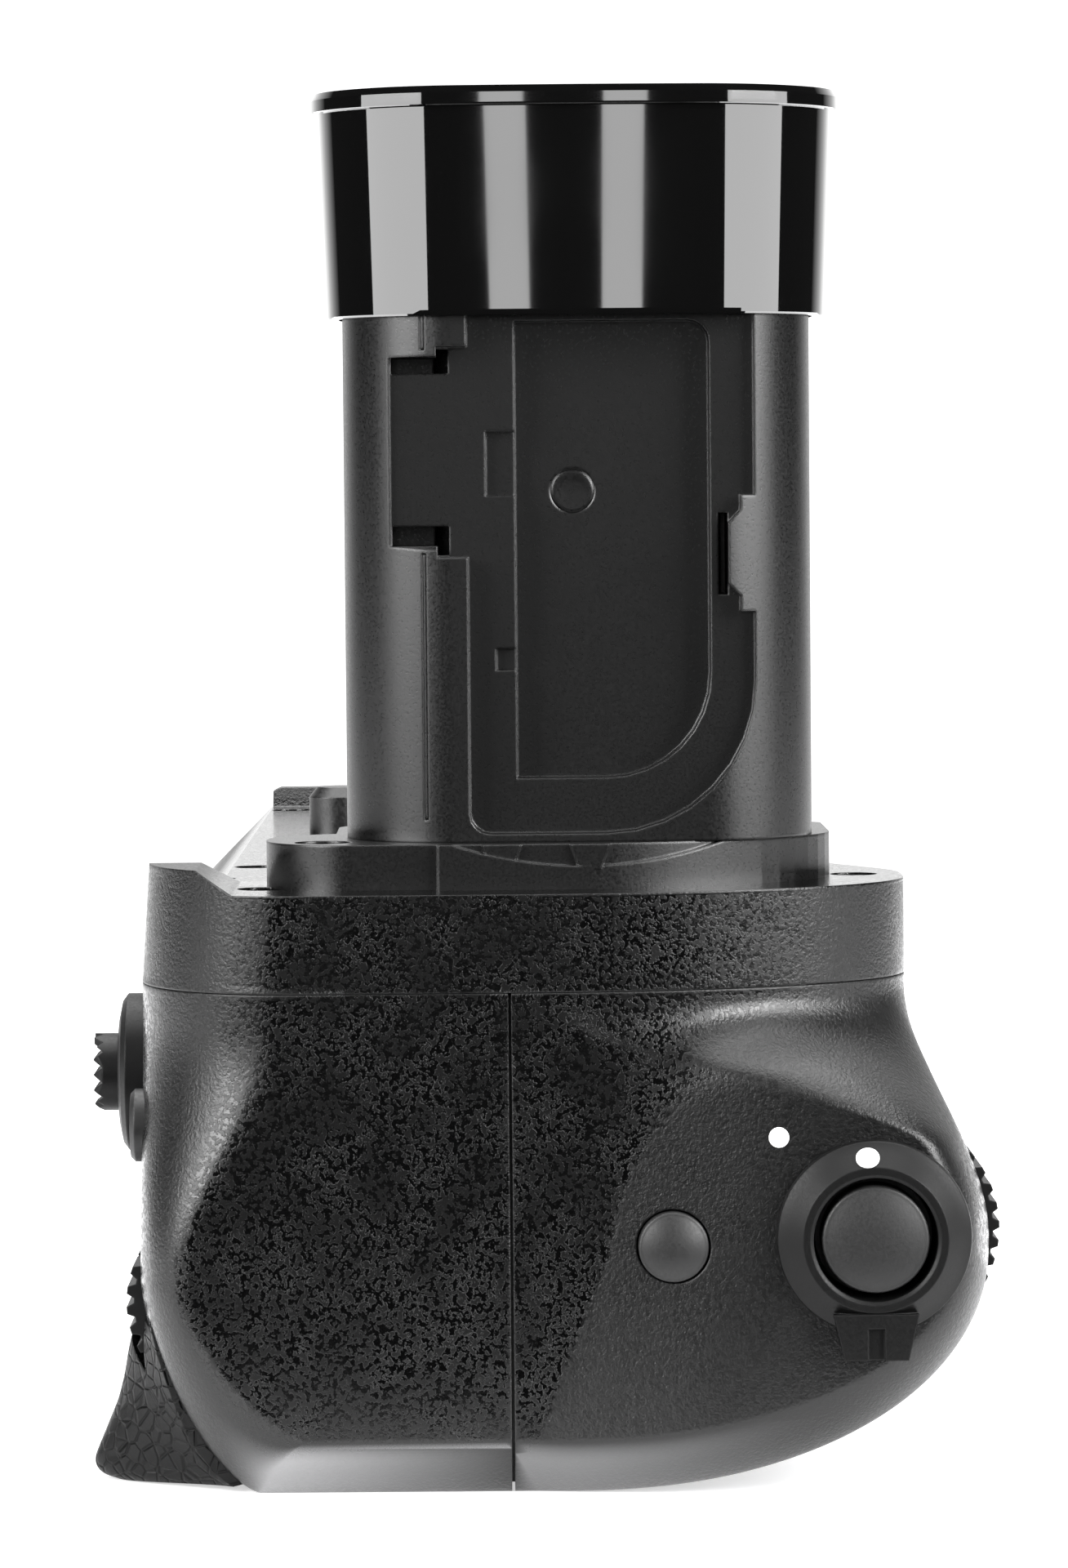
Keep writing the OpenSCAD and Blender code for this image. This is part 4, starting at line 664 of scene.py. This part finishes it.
def grip_line(x, w):
    """Line of the front grip rubber round the nose, w inside the housing's surface."""
    z = np.linspace(30.7, NOSE_Z, 30)
    lower = sweep_points(x, w, np.radians(np.linspace(2, 50, 30)))
    points = np.concatenate([np.stack([front_at(x, z, w), z], 1), lower])
    return np.stack([np.full(len(points), x), points[:, 0], points[:, 1]], 1)


GRIP_X0, GRIP_X1, GRIP_ROUND = -48, -20, 3


def grip_edge(x):
    """Thickness of the grip rubber, rounded off at its two ends."""
    return RUBBER * np.sqrt(np.clip(min(x - GRIP_X0, GRIP_X1 - x) / GRIP_ROUND, 0.06, 1))


grip_xs = np.concatenate([
    np.linspace(GRIP_X0, GRIP_X0 + GRIP_ROUND, 10),
    np.linspace(GRIP_X0 + GRIP_ROUND + 0.5, GRIP_X1 - GRIP_ROUND - 0.5, 40),
    np.linspace(GRIP_X1 - GRIP_ROUND, GRIP_X1, 10)])
grip = skin("grip", [grip_line(x, 0.4) for x in grip_xs], [grip_line(x, -grip_edge(x)) for x in grip_xs])
finish_piece(grip, "front_grip_rubber", rubber, degrees=40)

# Outer line of the thumb rest: share of the flare, and height above the base
REST = np.array([[0.02, 15], [0.3, 12.4], [0.38, 9], [0.62, 5.4],
                 [0.93, 2.6], [1, 1.5], [0.9, 0.5], [0.55, 0]])
REST_STEPS = len(REST) - 1


def rest_line(x, outer):
    """Line of the thumb rest on its outer face or on the housing."""
    t = np.linspace(0, REST_STEPS, 8 * REST_STEPS + 1)
    p = corner_points(x, 0, np.radians(72 - 60 * t / REST_STEPS))
    if outer:
        share = mix(0.06, 1, ease((x - NEAR_X - 3.5) / 9)) * (1 - 0.9 * ease((x + 34) / 16))
        full = np.stack([np.interp(t, np.arange(len(REST)), REST[:, k]) for k in (0, 1)], 1)
        for _ in range(24):
            full[1:-1] = (full[:-2] + 2 * full[1:-1] + full[2:]) / 4
        target = np.stack([REAR_Y + FLARE * full[:, 0], full[:, 1] + base_at(x, 0)], 1)
        p = mix(p, target, share)
    else:
        p = p + np.array([-0.3, 0.3])
    return np.stack([np.full(len(p), x), p[:, 0], p[:, 1]], 1)


rest_xs = np.linspace(NEAR_X + 4.5, -18, 90)
rest = skin("rest", [rest_line(x, False) for x in rest_xs], [rest_line(x, True) for x in rest_xs])
cut_out(rest, [drum("x", (MAIN_Y, MAIN_Z), REST_HOLE, DIAL_X0 - DIAL_ROOM, DIAL_X1 + DIAL_ROOM)])
finish_piece(rest, "thumb_rest_rubber", rubber, degrees=50)


# Glossy cap with a slightly bowed front
def soft_ring(w, d, r, z, bow=1.6):
    """Rounded rectangle with bowed long sides, an even spread of points."""
    long, short = np.linspace(0, 1, 40), np.linspace(0, 1, 16)
    half_w, half_d = w / 2 - r, d / 2 - r
    flat = np.stack([np.full(len(long), half_d + r), mix(-half_w, half_w, long)], 1)
    a = np.radians(np.linspace(0, 90, 24))[1:-1]
    turn = np.stack([half_d + r * np.cos(a), half_w + r * np.sin(a)], 1)
    side = np.stack([mix(half_d, -half_d, short), np.full(len(short), half_w + r)], 1)
    top_half = np.concatenate([flat, turn, side, turn[::-1] * [-1, 1]])
    ring = np.concatenate([top_half, -top_half])
    squeeze = 1 - bow / (d / 2) * (ring[:, 1] / (w / 2)) ** 2
    return np.stack([STALK_X + ring[:, 0] * squeeze, STALK_Y + ring[:, 1], np.full(len(ring), z)], 1)


# Width, depth, corner radius and height of the cap's rings, from its lower edge to the chamfer on its rim
CAP_LOW, CAP_HIGH, RIM = (43.5, 24.6, 11.3, 101.2), (44.8, 25.9, 11.9, 118.7), (46.1, 27.2, 12.5)
cap_rows = [(42.9, 24.0, 11.1, 101.0), (43.35, 24.45, 11.25, 101.04), CAP_LOW]
cap_rows += [[mix(a, b, t) for a, b in zip(CAP_LOW, CAP_HIGH)] for t in np.linspace(0.02, 1, 20)]
cap_rows += [(44.82, 25.92, 11.9, 118.85), (45.9, 27.0, 12.4, 118.92), (46.06, 27.16, 12.45, 119.0)]
cap_rows += [(*RIM, z) for z in (119.15, 119.25, 120.0)]
cap_rows += [(45.49, 26.59, 12.2, 120.6)]
cap = ring_solid("cap", [soft_ring(*row) for row in cap_rows])
cut_out(cap, [ring_solid("cutter", [soft_ring(41.5, 22.6, 10.3, z, 0.0) for z in (100, 118.6)])])
finish_piece(cap, "stalk_cap", cap_gloss, "stalk_cap", degrees=25)


# Domed buttons on the shutter platform
def turned(x, y, z, profile):
    """Solid turned about an axis along X, from radius and height pairs measured outward."""
    t = full_turn(ROUND_POINTS)
    rings = [placed("x", y + r * np.cos(t), z + r * np.sin(t), x - h) for r, h in profile]
    return ring_solid("turned", rings)


def dome(radius, low, high, edge):
    """Side, rounded edge and crowned top of a button."""
    a = quarter(8)
    side = [(radius - edge + edge * math.cos(v), low - edge + edge * math.sin(v)) for v in a]
    return side + [((radius - edge) * r, high - (high - low) * r * r) for r in np.linspace(1, 0.01, 24)[1:]]


shutter = turned(BOSS_X, LEVER_Y, LEVER_Z, [(2.4, -3), (4.55, -2.9)] + dome(4.55, 2.25, 2.9, 0.3))
finish_piece(shutter, "shutter_button", button_plastic, "shutter_button", degrees=50)
FUNCTION_X = NEAR_X - 0.48 * BOSS_RISE
function = turned(FUNCTION_X, FUNCTION_Y, FUNCTION_Z, [(1.2, -3), (3.0, -2.9)] + dome(3.0, 0.6, 1.25, 0.25))
finish_piece(function, "function_button", button_plastic, "function_button", degrees=50)


# Filler that makes the moulding mark in the stalk's pocket a shallow dish; radius and height pairs
MARK_Y, MARK_Z = STALK_Y + 0.46, 85.9
MARK_DISH = [(1.05, -0.47), (2.0, -0.04), (1.85, -0.07), (1.2, -0.16), (0.6, -0.19)]
add_piece(turned(POCKET_X, MARK_Y, MARK_Z, MARK_DISH), "mark_dish", stalk_plastic)


# White index dots, one on the housing and one on the lever
DOT_ROOT, DOT_PROUD = 0.4, 0.04


def dot(name, centre, normal, radius, body):
    """Low round dot that stands on a surface."""
    t = full_turn(ROUND_POINTS // 2)
    n = Vector(normal).normalized()
    a = n.orthogonal().normalized()
    b = n.cross(a)
    flat = np.outer(np.cos(t), a) + np.outer(np.sin(t), b)
    c, out = np.array(centre), np.array(n)
    rings = [c + flat * radius - out * DOT_ROOT, c + flat * radius,
             c + flat * (radius - DOT_PROUD) + out * DOT_PROUD]
    add_piece(ring_solid(name, rings), name, white_paint, body)


spot = boss_points(NEAR_X, 0, np.array([[-29.4, 31.05], [-28.9, 31.05], [-29.4, 31.55]]))
spot_normal = np.cross(spot[2] - spot[0], spot[1] - spot[0])
dot("dot_housing", spot[0] + [-0.03, 0, 0], spot_normal, 0.87, "housing")
dot("dot_lever", (BOSS_X - 2.02, -36.75, LEVER_Z + 6.95), (-0.76, 0.06, 0.65), 1.0, "lock_lever")


# Studio: pale floor, white surroundings, soft boxes
FLOOR_X0, FLOOR_X1, FLOOR_Y = -104, 450, 600
FLOOR_DROP = 0.00002


def add_floor():
    corners = [(FLOOR_X0, -FLOOR_Y, 0), (FLOOR_X1, -FLOOR_Y, 0),
               (FLOOR_X1, FLOOR_Y, 0), (FLOOR_X0, FLOOR_Y, 0)]
    floor = mesh_object("floor", corners, [(0, 1, 2, 3)])
    floor.location.z = -FLOOR_DROP
    g = Graph("floor_pale")
    fine = g.noise(40, 2)
    rays = g.tree.nodes.new("ShaderNodeLightPath").outputs
    seen = g.maths("MAXIMUM", g.maths("MULTIPLY", rays["Is Camera Ray"], 0.55),
                   g.maths("MAXIMUM", rays["Is Glossy Ray"], rays["Is Transmission Ray"]))
    dress(floor, g.surface(Base_Color=g.blend(fine, grey(0.6), grey(0.62)), Roughness=0.9,
                           Specular_IOR_Level=0.1, Emission_Color=(1, 1, 1, 1), Emission_Strength=seen))
    floor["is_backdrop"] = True


def soft_box(name, place, target, width, height, radiance):
    """Area lamp, with lengths in metres."""
    data = bpy.data.lights.new(name, "AREA")
    data.shape = "RECTANGLE"
    data.size, data.size_y = width, height
    data.energy = radiance * width * height * math.pi
    lamp = bpy.data.objects.new(name, data)
    lamp.location = place
    aim = Vector(target) - Vector(place)
    lamp.rotation_euler = aim.to_track_quat("-Z", "Y").to_euler()
    bpy.context.scene.collection.objects.link(lamp)


add_floor()
# Lamps in pairs to the left and right of the stalk: large boxes, low bands and narrow strips
AIM_X, AIM_Y = -0.06, -0.013
BOX_RADIANCE, BOX_UNEVEN, BAND_RADIANCE, STRIP_RADIANCE, TOP_RADIANCE = 19.0, 3.0, 2.6, 2.2, 7.0
for side in (1, -1):
    soft_box("box_%d" % side, (-0.755, side * 0.93 + AIM_Y, 0.55), (AIM_X, AIM_Y, 0.1),
             0.8, 0.7, BOX_RADIANCE - BOX_UNEVEN * side)
    soft_box("band_%d" % side, (-0.693, side * 0.975 + AIM_Y, 0.115), (AIM_X, AIM_Y, 0.115),
             1.03, 0.27, BAND_RADIANCE)
    soft_box("strip_%d" % side, (-1.3, side * 0.098 + AIM_Y, 0.17), (AIM_X, AIM_Y, 0.17),
             0.07, 0.3, STRIP_RADIANCE)

soft_box("box_top", (0.2, 0.0, 1.25), (0.0, 0.0, 0.0), 1.4, 1.5, TOP_RADIANCE)

# World: white to the camera, and for other rays light mainly from the far side of the part
world = bpy.data.worlds.new("studio")
bpy.context.scene.world = world
world.use_nodes = True
tree = world.node_tree
back = tree.nodes["Background"]
path = tree.nodes.new("ShaderNodeLightPath")
sky = tree.nodes.new("ShaderNodeTexCoord")
axes = tree.nodes.new("ShaderNodeSeparateXYZ")
behind = tree.nodes.new("ShaderNodeMapRange")
level = tree.nodes.new("ShaderNodeMath")
level.operation = "MAXIMUM"
for key, value in (("From Min", 0.55), ("From Max", 0.9), ("To Min", 0.02), ("To Max", 1.3)):
    behind.inputs[key].default_value = value
tree.links.new(sky.outputs["Generated"], axes.inputs["Vector"])
tree.links.new(axes.outputs["X"], behind.inputs["Value"])
tree.links.new(behind.outputs["Result"], level.inputs[0])
tree.links.new(path.outputs["Is Camera Ray"], level.inputs[1])
back.inputs["Color"].default_value = (1, 1, 1, 1)
tree.links.new(level.outputs["Value"], back.inputs["Strength"])


# Camera at the photo's angle, its place in metres and its turns in degrees
SENSOR_MM, LENS_MM = 36.0, 130.9
CAMERA_PLACE = Vector((-0.553, -0.0052, 0.086))
YAW, PITCH, ROLL = 0.443, 2.953, 0.5


def add_camera():
    data = bpy.data.cameras.new("camera")
    data.sensor_fit = "VERTICAL"
    data.sensor_height = SENSOR_MM
    data.sensor_width = SENSOR_MM
    data.lens = LENS_MM
    data.clip_start, data.clip_end = 0.05, 20.0
    camera = bpy.data.objects.new("camera", data)
    yaw, pitch, roll = math.radians(YAW), math.radians(PITCH), math.radians(ROLL)
    look = Vector((math.cos(pitch) * math.cos(yaw), -math.cos(pitch) * math.sin(yaw), -math.sin(pitch)))
    right = look.cross(Vector((0, 0, 1))).normalized()
    up = right.cross(look)
    turned_up = up * math.cos(roll) + right * math.sin(roll)
    turned_right = right * math.cos(roll) - up * math.sin(roll)
    turn = Matrix((turned_right, turned_up, -look)).transposed()
    camera.matrix_world = Matrix.Translation(CAMERA_PLACE) @ turn.to_4x4()
    bpy.context.scene.collection.objects.link(camera)
    bpy.context.scene.camera = camera


add_camera()
bpy.context.scene.view_settings.view_transform = "Standard"

low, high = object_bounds()
